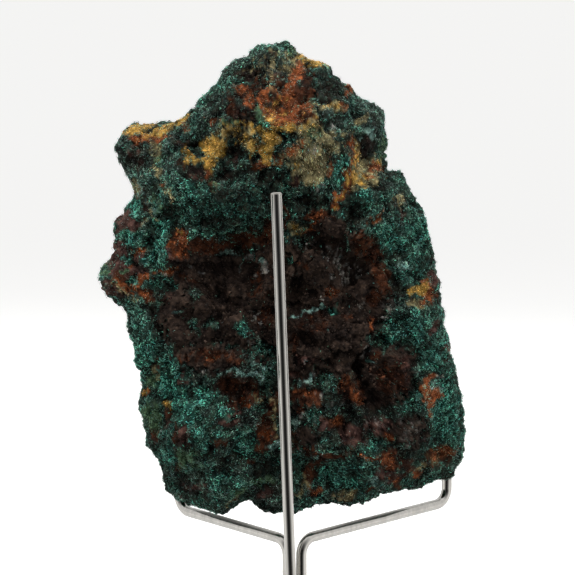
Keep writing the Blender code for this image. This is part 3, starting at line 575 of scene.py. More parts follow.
@dataclass
class StainMap:
    """Covers of every mineral and trait over the stone."""

    centre: Array  # of the stone's own measures, in mm
    seam: Range = (0.0, 9.0)  # depths in mm between the near and the far face
    drift: Range = (0.9, 0.6)  # broad and fine shift of the edges, in mm
    rag: Range = (0.22, 0.20)  # broad and fine unevenness of the covers
    streak: Triple = (1.0, 1.0, 0.42)  # draws that unevenness out downwards
    fall: float = -0.158  # a point counts this much lower for each mm further back
    front: float = -21.0  # depth of the patches in mm
    shrink: float = 0.0018  # and this much closer to the middle
    wander: float = 5.0  # straying on the sides and the back, in mm
    side: Range = (1.0, 10.0)  # depths in mm over which that sets in
    thin: float = 0.25  # cover below which the unevenness fades
    warp_x: Warp = Warp(Pattern(3.6, (1.2, 4.3, 6.8)), Pattern(1.3, (4.2, 7.3, 2.8)),
                        Pattern(7.0, (2.2, 9.3, 4.8)))
    warp_z: Warp = Warp(Pattern(3.6, (8.2, 0.3, 3.8)), Pattern(1.3, (6.2, 5.3, 9.8)),
                        Pattern(7.0, (7.2, 3.3, 1.8)))
    ragged: tuple[Pattern, Pattern] = (Pattern(1.1, (3.1, 3.2, 7.7)), Pattern(0.5, (9.4, 1.1, 5.3)))

    def local(self, points: Array) -> Array:
        """Points in mm from the stone's centre."""
        return points / MM - self.centre

    def near(self, local: Array) -> Array:
        """1 on the near face, 0 on the far one."""
        return 1.0 - rise(local[:, 1], *self.seam)

    def shifted(self, place: Array, local: Array, warp: Warp) -> Array:
        """Places along one axis, shifted so that the stains' edges get ragged."""
        broad, fine = self.drift
        stray = self.wander * rise(local[:, 1], *self.side)
        return place + broad * warp.broad.at(local) + fine * warp.fine.at(local) \
            + stray * warp.stray.at(local)

    def placed(self, local: Array) -> tuple[Array, Array]:
        """Each point's x and z on the plane of the patches."""
        back = local[:, 1] - self.front
        scale = 1.0 - self.shrink * back
        return (self.shifted(local[:, 0] * scale, local, self.warp_x),
                self.shifted(local[:, 2] * scale - self.fall * back, local, self.warp_z))

    def covers(self, points: Array, kinds: type[Kind]) -> Array:
        """How far each kind covers each point; about 0.5 is the edge of a stain.

        Args:
            points: Rows of x, y, z in metres.
            kinds: The minerals or the traits.

        Returns:
            One row for each point and one column for each kind.
        """
        local = self.local(points)
        x, z = self.placed(local)
        near = self.near(local)
        drawn = local * self.streak
        rag = sum(height * pattern.at(drawn) for height, pattern in zip(self.rag, self.ragged))
        columns = []
        for kind in kinds:
            cover = near * self.strongest(NEAR_PATCHES.get(kind, []), x, z)
            cover += (1.0 - near) * self.strongest(FAR_PATCHES.get(kind, []), x, z)
            columns.append(cover + rag * np.minimum(1.0, cover / self.thin))
        return np.column_stack(columns)

    @staticmethod
    def strongest(rows: list[Row], x: Array, z: Array) -> Array:
        """Strongest of several patches at each point."""
        cover = np.zeros(len(x))
        for row in rows:
            cover = np.maximum(cover, Patch.read(row).weigh(x, z))
        return cover

    def combing(self, points: Array) -> Array:
        """The way that needles are combed at each point.

        Args:
            points: Rows of x, y, z in metres.

        Returns:
            Rows of directions, as long as the combing is strong.
        """
        local = self.local(points)
        near = self.near(local)
        ways = np.zeros((len(points), 3))
        for comb in COMBS:
            weight = comb.patch.weigh(local[:, 0], local[:, 2]) * near
            way = np.array([comb.way[0], 0.0, comb.way[1]])
            ways += weight[:, None] * way / np.linalg.norm(way)
        return ways


@dataclass(frozen=True)
class Tones:
    """Dark and light linear colour of a mineral, and how much felt grows on it."""

    dark: Colour
    light: Colour
    felt: float


@dataclass(frozen=True)
class Palette:
    """Colours of the minerals, of the felt from slate to pure green, of the ground with its
    near-black painted shade, and of the painted highlight on needle tips.
    """

    gap_shade_soil: Colour = (0.003, 0.003, 0.003)  # painted shade: near-black ground that stands for the shade between needles
    soil_light: Colour = (0.018, 0.017, 0.012)  # lighter ground, mixed with it by a random mottle
    slate: Colour = (0.088, 0.112, 0.100)  # felt that is not pure at all
    green: Colour = (0.055, 0.150, 0.112)
    teal: Colour = (0.040, 0.215, 0.165)
    tip_highlight: Colour = (0.480, 0.700, 0.590)  # painted highlight on a needle's tip
    edge: float = 0.5  # cover at a stain's edge
    minerals: dict[Mineral, Tones] = field(default_factory=lambda: {
        Mineral.LIMONITE: Tones((0.009, 0.006, 0.005), (0.044, 0.030, 0.023), 0.05),
        Mineral.MAROON: Tones((0.025, 0.012, 0.010), (0.126, 0.067, 0.055), 0.45),
        Mineral.RUST: Tones((0.014, 0.006, 0.004), (0.086, 0.031, 0.015), 0.30),
        Mineral.CLAY: Tones((0.105, 0.088, 0.042), (0.710, 0.620, 0.320), 0.95),
        Mineral.ORANGE: Tones((0.072, 0.021, 0.007), (0.560, 0.168, 0.060), 0.90),
        Mineral.OCHRE: Tones((0.170, 0.098, 0.016), (1.000, 0.610, 0.140), 0.90),
        Mineral.MOSS: Tones((0.018, 0.040, 0.022), (0.180, 0.330, 0.175), 1.0),
        Mineral.ASH: Tones((0.070, 0.065, 0.058), (0.440, 0.425, 0.390), 0.75),
        Mineral.PALE: Tones((0.120, 0.285, 0.240), (0.560, 0.890, 0.790), 1.0),
        Mineral.FELT: Tones((0.0, 0.0, 0.0), (0.0, 0.0, 0.0), 1.0),
    })

    def stained(self, tone: Array, covers: Array, light: Array, soft: float) -> tuple[Array, Array]:
        """Lay every mineral over a tone, in the order of the enumeration.

        Args:
            tone: Rows of colours.
            covers: One column for each mineral.
            light: How light the minerals are at each row, 0 to 1.
            soft: Half width of the passage from no cover to full.

        Returns:
            The rows of colours, and how far each row is stained.
        """
        low, high = self.edge - soft, self.edge + soft
        clear = 1.0 - rise(covers[:, Mineral.FELT.index], low, high)
        share = np.zeros(len(tone))
        for column, mineral in zip(covers.T, list(Mineral)[:-1]):
            here = rise(column, low, high) * clear
            tones = self.minerals[mineral]
            tone = blend(tone, blend(np.array(tones.dark), np.array(tones.light), light), here)
            share = np.maximum(share, here)
        return tone, share

    def felt_tone(self, vivid: Array) -> Array:
        """Felt colour from slate at 0 through green to teal at 1."""
        low = blend(np.array(self.slate), np.array(self.green), np.clip(2.0 * vivid, 0.0, 1.0))
        return blend(low, np.array(self.teal), np.clip(2.0 * vivid - 1.0, 0.0, 1.0))


# --- the stone ---

@dataclass
class Skin:
    """The finished surface of the stone, one row for each vertex."""

    points: Array
    normals: Array
    triangles: Array
    covers: Array  # a column for each mineral
    felt: Array  # how much grows, 0 to 1
    # Brightness of the felt, with painted shade in pits and gaps and painted light on crests.
    light: Array
    vivid: Array  # purity of the felt's green
    room: Array  # 0 close to a rod, 1 away from it
    combing: Array
    near_side: ClassVar[float] = 0.15  # normals whose y is less face the near side

    def pick(self, weights: Array, count: int, random: Random) -> "Skin":
        """Pick random places on the surface.

        Args:
            weights: Chance of each triangle.
            count: How many places.
            random: Source of the draws.

        Returns:
            The places as a skin without triangles.
        """
        chosen = self.triangles[random.choice(len(weights), size=count, p=weights / weights.sum())]
        spread = random.random((count, 2))
        flip = spread.sum(axis=1) > 1.0
        spread[flip] = 1.0 - spread[flip]
        share = np.column_stack([1.0 - spread.sum(axis=1), spread])

        def at(rows: Array) -> Array:
            """Values of the rows at the chosen places."""
            return np.einsum("ij,ij...->i...", share, rows[chosen])

        return Skin(at(self.points), unit(at(self.normals)), np.empty((0, 3)), at(self.covers),
                    at(self.felt), at(self.light), at(self.vivid), at(self.room), at(self.combing))

    def repeat(self, owner: Array) -> "Skin":
        """The places of a skin without triangles, in the order and number of their owners."""
        return Skin(*(rows[owner] if len(rows) else rows for rows in vars(self).values()))

    def areas(self) -> tuple[Array, Array]:
        """Twice the area of each triangle, and whether it faces the near side."""
        corners = self.points[self.triangles]
        cross = np.cross(corners[:, 1] - corners[:, 0], corners[:, 2] - corners[:, 0])
        area = np.linalg.norm(cross, axis=1)
        return area, cross[:, 1] < self.near_side * area

    def mean(self, rows: Array) -> Array:
        """Mean of a value over each triangle."""
        return rows[self.triangles].mean(axis=1)


@dataclass(frozen=True)
class Nudge:
    """A small local shift of the outline: place, reach and way in mm from the stone's centre."""

    x: float
    z: float
    reach: float
    way_x: float
    way_z: float

    def shift(self, local: Array) -> Array:
        """Shift of each point in mm."""
        gap = np.hypot(local[:, 0] - self.x, local[:, 2] - self.z)
        weight = smooth(1.0 - gap / self.reach)
        return weight[:, None] * np.array([self.way_x, 0.0, self.way_z])


NUDGES: list[Nudge] = [Nudge(*row) for row in (
    (13.4, 53.6, 4.0, 0.5, 0.4), (19.5, 49.0, 4.5, -0.6, -0.9), (23.6, 36.6, 3.4, 0.9, 0.0),
    (-38.6, 16.4, 2.2, 1.6, 0.0), (-43.0, 9.4, 2.2, -0.7, 1.0), (-40.9, 10.2, 1.5, 0.4, -1.3),
    (-40.4, 1.4, 4.0, 0.6, 0.8), (-34.0, -13.8, 2.6, 0.9, 0.0), (-33.4, -28.5, 5.5, 0.6, 0.0),
    (7.8, -48.0, 4.4, 0.0, -0.9), (16.4, -46.6, 5.0, 0.0, 1.2), (34.4, -41.0, 5.0, 0.0, 1.0),
    (39.6, -37.0, 3.0, -0.6, 0.5), (38.2, -5.4, 2.6, 0.8, 0.0), (41.2, -22.0, 5.0, -0.6, 0.0),
    (-27.6, -41.6, 2.4, 0.6, 0.0), (-15.0, 55.6, 3.4, 0.6, -0.3),
)]


@dataclass(frozen=True)
class Knobs:
    """Rounded knobs of the crust, with narrow gaps between them; size and lift in mm."""

    size: float
    lift: float
    waver: float = 0.3  # stray from an even grid, in sizes
    radius: float = 0.85  # of a dome, in sizes
    gap: float = 0.35  # width of a gap's edge, in sizes
    shares: Range = (0.55, 0.45)  # of the dome and the gap in the height
    middle: float = 0.62

    def at(self, local: Array) -> Array:
        """Height of the knobs.

        Args:
            local: Points in mm from the stone's centre.

        Returns:
            0 in a gap to 1 on top of a knob, at each point.
        """
        size = self.size
        offsets = (size, 2.0, 4.0), (7.0, size, 1.0), (3.0, 9.0, size)
        stray = np.column_stack([Pattern(size, offset).at(local) for offset in offsets])
        values = np.empty(len(local))
        dome, open_gap = self.shares
        rows = (local + self.waver * size * stray) / size
        for index, row in enumerate(rows.tolist()):
            near, second = noise.voronoi(row)[0][:2]
            values[index] = dome * math.sqrt(max(0.0, 1.0 - (near / self.radius) ** 2)) \
                + open_gap * min(1.0, (second - near) / self.gap)
        return values


@dataclass(frozen=True)
class Blocks:
    """Flat tilted facets with sharp steps, as on broken ore; size and lift in mm."""

    size: float
    lift: float
    tilt: float = 1.6  # steepness of a facet
    step: float = 1.2  # height between facets
    shuffle: float = 9.1  # makes each facet's lean its own

    def at(self, local: Array) -> Array:
        """Height of the facets.

        Args:
            local: Points in mm from the stone's centre.

        Returns:
            About -1 to 1, at each point.
        """
        values = np.empty(len(local))
        middle = Vector((0.5, 0.5, 0.5))
        for index, row in enumerate((local / self.size).tolist()):
            place = noise.voronoi(row)[1][0]
            lean = noise.cell_vector(place * self.shuffle) - middle
            values[index] = self.tilt * (Vector(row) - place).dot(lean) + self.step * lean.x
        return values


@dataclass(frozen=True)
class Relief:
    """Fine relief of the surface: knobs under the felt, broken facets where it is bare."""

    broad: Knobs = Knobs(3.8, 1.6)
    fine: Knobs = Knobs(1.7, 0.85)
    coarse: Blocks = Blocks(4.2, 0.85)
    sharp: Blocks = Blocks(1.7, 0.30)
    sink: float = -0.55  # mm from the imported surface, below the needles
    # Minerals that fill the gaps between knobs.
    powdery: tuple[Mineral, ...] = (Mineral.CLAY, Mineral.ORANGE, Mineral.OCHRE)
    powder: Range = (0.3, 0.7)  # covers between which they do
    fill: float = 0.7  # share of the knobs' height that this takes
    bare: Range = (0.15, 0.5)  # felt between broken and knobby surface
    pit: float = 0.9
    pit_calm: float = 0.6  # share of the facets' height that a pit takes
    crest_shares: Range = (0.65, 0.35)  # of the broad and the fine knobs
    facet_crest: Range = (0.6, 0.4)  # middle, and gain with the height

    def at(self, local: Array, felt: Array, covers: Array, dark: Array) -> tuple[Array, Array]:
        """Height of the relief in mm, and how close each point is to a crest.

        Args:
            local: Points in mm from the stone's centre.
            felt: How much felt grows at each point.
            covers: Covers of the minerals.
            dark: How far each point lies in a pit.

        Returns:
            Heights along the normals, and crests from 0 in a gap to 1 on top.
        """
        broad, fine = self.broad.at(local), self.fine.at(local)
        powder = covers[:, [mineral.index for mineral in self.powdery]].max(axis=1)
        crust = (self.broad.lift * (broad - self.broad.middle)
                 + self.fine.lift * (fine - self.fine.middle)) \
            * (1.0 - self.fill * rise(powder, *self.powder)) + self.sink
        broken = self.coarse.lift * self.coarse.at(local) + self.sharp.lift * self.sharp.at(local)
        broken *= 1.0 - self.pit_calm * dark
        bare = 1.0 - rise(felt, *self.bare)
        height = crust + (broken - crust) * bare
        height -= self.pit * dark
        first, second = self.crest_shares
        crest = np.clip(first * broad + second * fine, 0.0, 1.0)
        middle, gain = self.facet_crest
        crest += (np.clip(middle + gain * broken, 0.0, 1.0) - crest) * bare
        return height, crest


@dataclass(frozen=True)
class FeltLooks:
    """Brightness and purity of plain felt, and what traits, crests and chance change; pits and gaps
    get painted shade and crests painted light.
    """

    light: float = 0.46
    bright: float = 0.36
    # Painted shade that a pit puts on the felt.
    dark: float = 0.44
    # Painted light on crests and painted shade in the gaps between knobs.
    crest: float = 0.55
    crest_middle: float = 0.6  # crest that changes nothing
    cloud: Pattern = Pattern(5.0, (2.7, 6.1, 5.9))
    spot: Pattern = Pattern(2.2, (5.7, 2.1, 0.9))
    fleck: Pattern = Pattern(1.0, (1.7, 8.1, 3.9))
    uneven: Triple = (0.15, 0.15, 0.12)  # gains of cloud, spot and fleck
    pure: float = 0.45
    vivid: float = 0.4
    dull: float = 0.35
    hue: Pattern = Pattern(4.0, (8.7, 3.1, 2.9))
    uneven_hue: Range = (0.16, 0.1)  # gains of hue and spot

    def at(self, local: Array, traits: Array, crest: Array) -> tuple[Array, Array]:
        """Brightness of the felt, with painted shade in pits and gaps and painted light on crests,
        and its purity, both 0 to 1.

        Args:
            local: Points in mm from the stone's centre.
            traits: Covers of the traits, 0 to 1.
            crest: How close each point is to a crest.

        Returns:
            The brightness, with its painted light and shade, and the purity at each point.
        """
        bright, dark, vivid, dull = traits.T
        spot = self.spot.at(local)
        # Pits darken the felt with painted shade.
        light = self.light + self.bright * bright - self.dark * dark
        for gain, pattern in zip(self.uneven, (self.cloud.at(local), spot, self.fleck.at(local))):
            light = light + gain * pattern
        # Painted light on crests, painted shade in gaps.
        light = light + self.crest * (crest - self.crest_middle)
        pure = self.pure + self.vivid * vivid - self.dull * dull
        for gain, pattern in zip(self.uneven_hue, (self.hue.at(local), spot)):
            pure = pure + gain * pattern
        return np.clip(light, 0.0, 1.0), np.clip(pure, 0.0, 1.0)


@dataclass(frozen=True)
class Ground:
    """Colour of the surface under and between the needles, with painted shade under the felt and in
    the gaps between knobs.
    """

    mottle: Pattern = Pattern(1.4, (3.3, 3.9, 4.1))
    grain: Pattern = Pattern(0.7, (6.3, 1.9, 8.1))
    grainy: float = 0.25  # gain of the grain
    moss: float = 0.40  # brightness of felt that lies flat, its share, and gain with light
    moss_share: float = 0.8
    moss_light: float = 0.8
    stain_light: Range = (-0.12, 0.8)  # base, and gain with light
    soft: float = 0.14
    shade_under_felt: float = 0.75  # painted shade: share of light that a stain loses between needles
    gap_shade: Range = (0.36, 0.84)  # painted shade: brightness in a gap, and gain on a crest
    top: Range = (0.2, 0.95)  # crests between which the painted shade lifts

    def at(self, skin: Skin, local: Array, crest: Array, palette: Palette) -> Array:
        """Colour of the surface at every vertex, painted shade included.

        Args:
            skin: The finished surface.
            local: Its points in mm from the stone's centre.
            crest: How close each point is to a crest.
            palette: The colours.

        Returns:
            Rows of linear colours.
        """
        mottle = 0.5 + 0.5 * self.mottle.at(local)
        grain = self.grainy * self.grain.at(local)
        # The near-black painted shade and the lighter ground, mottled at random.
        tone = blend(np.array(palette.gap_shade_soil), np.array(palette.soil_light), smooth(mottle))
        mossy = palette.felt_tone(skin.vivid) * self.moss
        tone = blend(tone, mossy, smooth(skin.light * self.moss_light + grain) * self.moss_share)
        base, gain = self.stain_light
        light = smooth(gain * skin.light + base + 0.5 * mottle + grain)
        tone, share = palette.stained(tone, skin.covers, light, self.soft)
        # Painted shade: stains darken under the felt, and every colour darkens in the gaps between
        # knobs.
        tone = tone * (1.0 - self.shade_under_felt * share * skin.felt)[:, None]
        base, gain = self.gap_shade
        return tone * (base + gain * rise(crest, *self.top))[:, None]


@dataclass
class Stone:
    """The specimen's matrix and crust."""

    rods: list[list[Vector]]  # centre lines that nothing may cover, in metres
    palette: Palette
    centre: Vector = Vector((-2.3, 19.2, 103.6))  # of the stone's own measures, in mm
    cuts: tuple[int, int] = (2, 1)  # in every edge, then on the near face
    rounding: float = 0.8
    near_face: float = -0.25  # y of the normals at its rim
    full: Range = (0.38, 0.62)  # covers over which a mineral sets the felt
    rod_gap: Range = (1.9, 3.6)  # mm from a rod's centre line
    pit_thinning: float = 0.6  # share of the felt that a pit takes
    relief: Relief = Relief()
    looks: FeltLooks = FeltLooks()
    ground: Ground = Ground()

    def build(self) -> tuple[Item, Skin]:
        """Model the fine stone.

        Returns:
            The object, and the surface that the needles grow from.
        """
        item = merged_copy("specimen", "stone_surface")
        self.refine(item)
        stains = StainMap(np.array(self.centre))
        points, normals = self.read(item.data)
        local = stains.local(points)
        points = points + sum(nudge.shift(local) for nudge in NUDGES) * MM
        covers = stains.covers(points, Mineral)
        traits = np.clip(stains.covers(points, Trait), 0.0, 1.0)
        dark = traits[:, Trait.DARK.index]
        felt = self.felt_share(covers)
        room = self.room(points)
        height, crest = self.relief.at(stains.local(points), felt, covers, dark)
        height = np.where(height > 0.0, height * room, height)
        points = points + normals * (height * MM)[:, None]
        item.data.vertices.foreach_set("co", points.ravel())
        item.data.update()
        points, normals = self.read(item.data)
        local = stains.local(points)
        light, vivid = self.looks.at(local, traits, crest)
        skin = Skin(points, normals, self.triangles(item.data), covers,
                    felt * (1.0 - self.pit_thinning * dark), light, vivid, room,
                    stains.combing(points))
        write_tone(item.data, self.ground.at(skin, local, crest, self.palette))
        return item, skin

    def refine(self, item: Item) -> None:
        """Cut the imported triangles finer, finest on the near face.

        Args:
            item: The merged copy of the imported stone.
        """
        select_only(item)
        bpy.ops.object.mode_set(mode="EDIT")
        bpy.ops.mesh.select_all(action="SELECT")
        bpy.ops.mesh.subdivide(number_cuts=self.cuts[0], smoothness=self.rounding)
        bpy.ops.mesh.select_all(action="DESELECT")
        bpy.ops.object.mode_set(mode="OBJECT")
        middle = self.centre.y * MM
        for face in item.data.polygons:
            face.select = face.normal.y < self.near_face and face.center.y < middle
        bpy.ops.object.mode_set(mode="EDIT")
        bpy.ops.mesh.select_mode(type="FACE")
        bpy.ops.mesh.subdivide(number_cuts=self.cuts[1], smoothness=0.0)
        bpy.ops.mesh.select_all(action="SELECT")
        bpy.ops.mesh.quads_convert_to_tris()
        bpy.ops.mesh.select_all(action="DESELECT")
        bpy.ops.object.mode_set(mode="OBJECT")

    @staticmethod
    def read(mesh: bpy.types.Mesh) -> tuple[Array, Array]:
        """Read a mesh.

        Args:
            mesh: The mesh.

        Returns:
            Every vertex and its normal.
        """
        points = np.empty(len(mesh.vertices) * 3)
        mesh.vertices.foreach_get("co", points)
        normals = np.empty(len(mesh.vertices) * 3, np.float32)
        mesh.vertex_normals.foreach_get("vector", normals)
        return points.reshape(-1, 3), normals.reshape(-1, 3).astype(float)

    @staticmethod
    def triangles(mesh: bpy.types.Mesh) -> Array:
        """Vertex numbers of every triangle."""
        mesh.calc_loop_triangles()
        triangles = np.empty(len(mesh.loop_triangles) * 3, np.int32)
        mesh.loop_triangles.foreach_get("vertices", triangles)
        return triangles.reshape(-1, 3)

    def felt_share(self, covers: Array) -> Array:
        """How much felt grows at each point, from the minerals there."""
        share = np.ones(len(covers))
        for mineral in Mineral:
            cover = rise(covers[:, mineral.index], *self.full)
            share += (self.palette.minerals[mineral].felt - share) * cover
        return share

    def room(self, points: Array) -> Array:
        """0 close to a rod, 1 away from the rods."""
        room = np.ones(len(points))
        for line in self.rods:
            for start, end in zip(line, line[1:]):
                low, span = np.array(start), np.array(end - start)
                share = np.clip(((points - low) @ span) / (span @ span), 0.0, 1.0)
                gap = np.linalg.norm(points - (low + share[:, None] * span), axis=1) / MM
                room = np.minimum(room, rise(gap, *self.rod_gap))
        return room


@dataclass
class Crumbs:
    """Crumbs of limonite on the bare places."""

    palette: Palette
    count: tuple[int, int] = (5200, 1800)  # near face, rest
    half: Range = (0.08, 0.32)  # half size in mm
    fewer: float = 2.2  # power that makes large ones rare
    bare: Range = (0.1, 0.45)  # felt over which they get rare
    elsewhere: float = 0.04  # density left on the felt
    uneven: Range = (0.45, 1.15)  # reach of a corner, in half sizes
    tilt: float = 0.3
    tucked: float = 0.4  # share of the size kept beside a rod
    cover_spread: float = 0.08
    dim: float = 1.6  # power that makes light ones rare
    tone_spread: float = 0.25
    soft: float = 0.08
    seed: int = 23
    corners: ClassVar[list[Triple]] = [
        (-1, -1, -1), (1, -1, -1), (1, 1, -1), (-1, 1, -1),
        (-1, -1, 1), (1, -1, 1), (1, 1, 1), (-1, 1, 1)]
    sides: ClassVar[list[tuple[int, ...]]] = [
        (0, 3, 2, 1), (4, 5, 6, 7), (0, 1, 5, 4), (1, 2, 6, 5), (2, 3, 7, 6), (3, 0, 4, 7)]

    def build(self, skin: Skin) -> Item:
        """Scatter the crumbs.

        Args:
            skin: The stone's finished surface.

        Returns:
            One mesh of every crumb.
        """
        random = np.random.default_rng(self.seed)
        area, near = skin.areas()
        bare = area * (1.0 - rise(skin.mean(skin.felt), *self.bare)) + area * self.elsewhere
        parts = [skin.pick(bare * side, count, random)
                 for side, count in zip((near, ~near), self.count)]
        vertices, tones = zip(*(self.chip(part, random) for part in parts))
        first = np.arange(sum(self.count))[:, None, None] * len(self.corners)
        faces = (first + np.array(self.sides)).reshape(-1, 4)
        return joined_mesh("limonite_crumbs", np.concatenate(vertices), faces,
                           np.concatenate(tones))

    def chip(self, sites: Skin, random: Random) -> tuple[Array, Array]:
        """Corners and colours of one uneven block at each place.

        Args:
            sites: Middles of the crumbs.
            random: Source of the draws.

        Returns:
            Rows of corners, and rows of their colours.
        """
        count, corners = len(sites.points), len(self.corners)
        small, large = self.half
        first = unit(np.cross(sites.normals, random.normal(size=(count, 3))))
        second = np.cross(sites.normals, first)
        size = small + (large - small) * random.random(count) ** self.fewer
        size *= (self.tucked + (1.0 - self.tucked) * sites.room) * MM
        shape = np.array(self.corners, float) * random.uniform(*self.uneven, (count, corners, 3)) \
            * size[:, None, None]
        lean = random.normal(scale=self.tilt, size=(count, 2))
        up = unit(sites.normals + first * lean[:, :1] + second * lean[:, 1:])
        place = sites.points[:, None, :] + shape[:, :, :1] * first[:, None, :] \
            + shape[:, :, 1:2] * second[:, None, :] + shape[:, :, 2:] * up[:, None, :]
        soil = np.tile(np.array(self.palette.soil_light), (count, 1))
        covers = sites.covers + random.normal(scale=self.cover_spread, size=(count, 1))
        tone, _ = self.palette.stained(soil, covers, random.random(count) ** self.dim, self.soft)
        tone *= np.exp(random.normal(scale=self.tone_spread, size=count))[:, None]
        return place.reshape(-1, 3), np.repeat(tone, corners, axis=0)


# --- needle felt ---

@dataclass(frozen=True)
class NeedleTones:
    """Colours of single needles, from the surface that they stand on and from chance, with a
    painted highlight on the tip and painted shade at the root.
    """

    # How much the tuft and the needle change the purity, the glow and the covers.
    purity: Range = (0.12, 0.22)
    glow: Range = (0.10, 0.21)
    brightest: float = 0.95
    covers: Range = (0.15, 0.38)
    clean: Range = (0.18, 0.45)  # chance that a stain is faint, and its factor
    contrast: float = 3.5  # power of the brightness
    middle: float = 0.485  # brightness of the plain colour
    stain_light: Range = (0.20, 1.1)  # base, and gain with the glow
    stain_power: float = 1.3
    soft: float = 0.25
    hue: float = 0.07
    # Painted highlight on the tips: shine, shine_from, glint, most_shine and tip brighten them and
    # turn them pale.
    shine: float = 0.55  # gain above shine_from
    shine_from: float = 0.15
    glint: Range = (0.10, 0.05)  # mean of the chance part, and what is taken off
    most_shine: float = 0.8
    tip: float = 1.5
    tip_highlight: Range = (0.6, 0.5)  # share of the painted highlight in a tip, and what a stain takes off
    root: Range = (0.10, 0.40)  # painted shade: brightness at the root, and gain in a stain

    def at(self, sites: Skin, tuft: Array, palette: Palette,
           random: Random) -> tuple[Array, Array, Array]:
        """Body colour of each needle, tip colour with a painted highlight, and how bright its root
        is, as painted shade.

        Args:
            sites: Where the needles stand, one row each.
            tuft: A value about -1 to 1 that the needles of one tuft share.
            palette: The colours.
            random: Source of the draws.

        Returns:
            Rows of body colours, rows of tip colours with painted highlights, and rows of the
            root's brightness as painted shade.
        """
        count = len(sites.points)
        shared, own = self.purity
        vivid = sites.vivid + shared * tuft + own * random.normal(size=count)
        felt = palette.felt_tone(np.clip(vivid, 0.0, 1.0))
        shared, own = self.glow
        glow = sites.light + shared * tuft + own * random.normal(size=count)
        glow = np.minimum(glow, self.brightest)
        shared, own = self.covers
        covers = sites.covers * (1.0 + shared * tuft[:, None]
                                 + own * random.normal(size=sites.covers.shape))
        chance, kept = self.clean
        covers *= np.where(random.random(count) < chance, kept, 1.0)[:, None]
        base, gain = self.stain_light
        light = np.clip(base + gain * glow, 0.0, 1.0) ** self.stain_power
        felt = felt * np.exp(self.contrast * (glow - self.middle))[:, None]
        body, share = palette.stained(felt, covers, light, self.soft)
        body *= np.exp(random.normal(scale=self.hue, size=body.shape))
        # Painted highlight: tips brighten towards a pale colour with the glow and at random.
        mean, less = self.glint
        shine = self.shine * (glow - self.shine_from) + random.exponential(mean, count) - less
        shine = np.clip(shine, 0.0, self.most_shine)
        base, loss = self.tip_highlight
        tip = blend(body * self.tip, np.array(palette.tip_highlight), shine * (base - loss * share))
        # Painted shade at the root.
        base, gain = self.root
        return body, tip, (base + gain * share)[:, None]


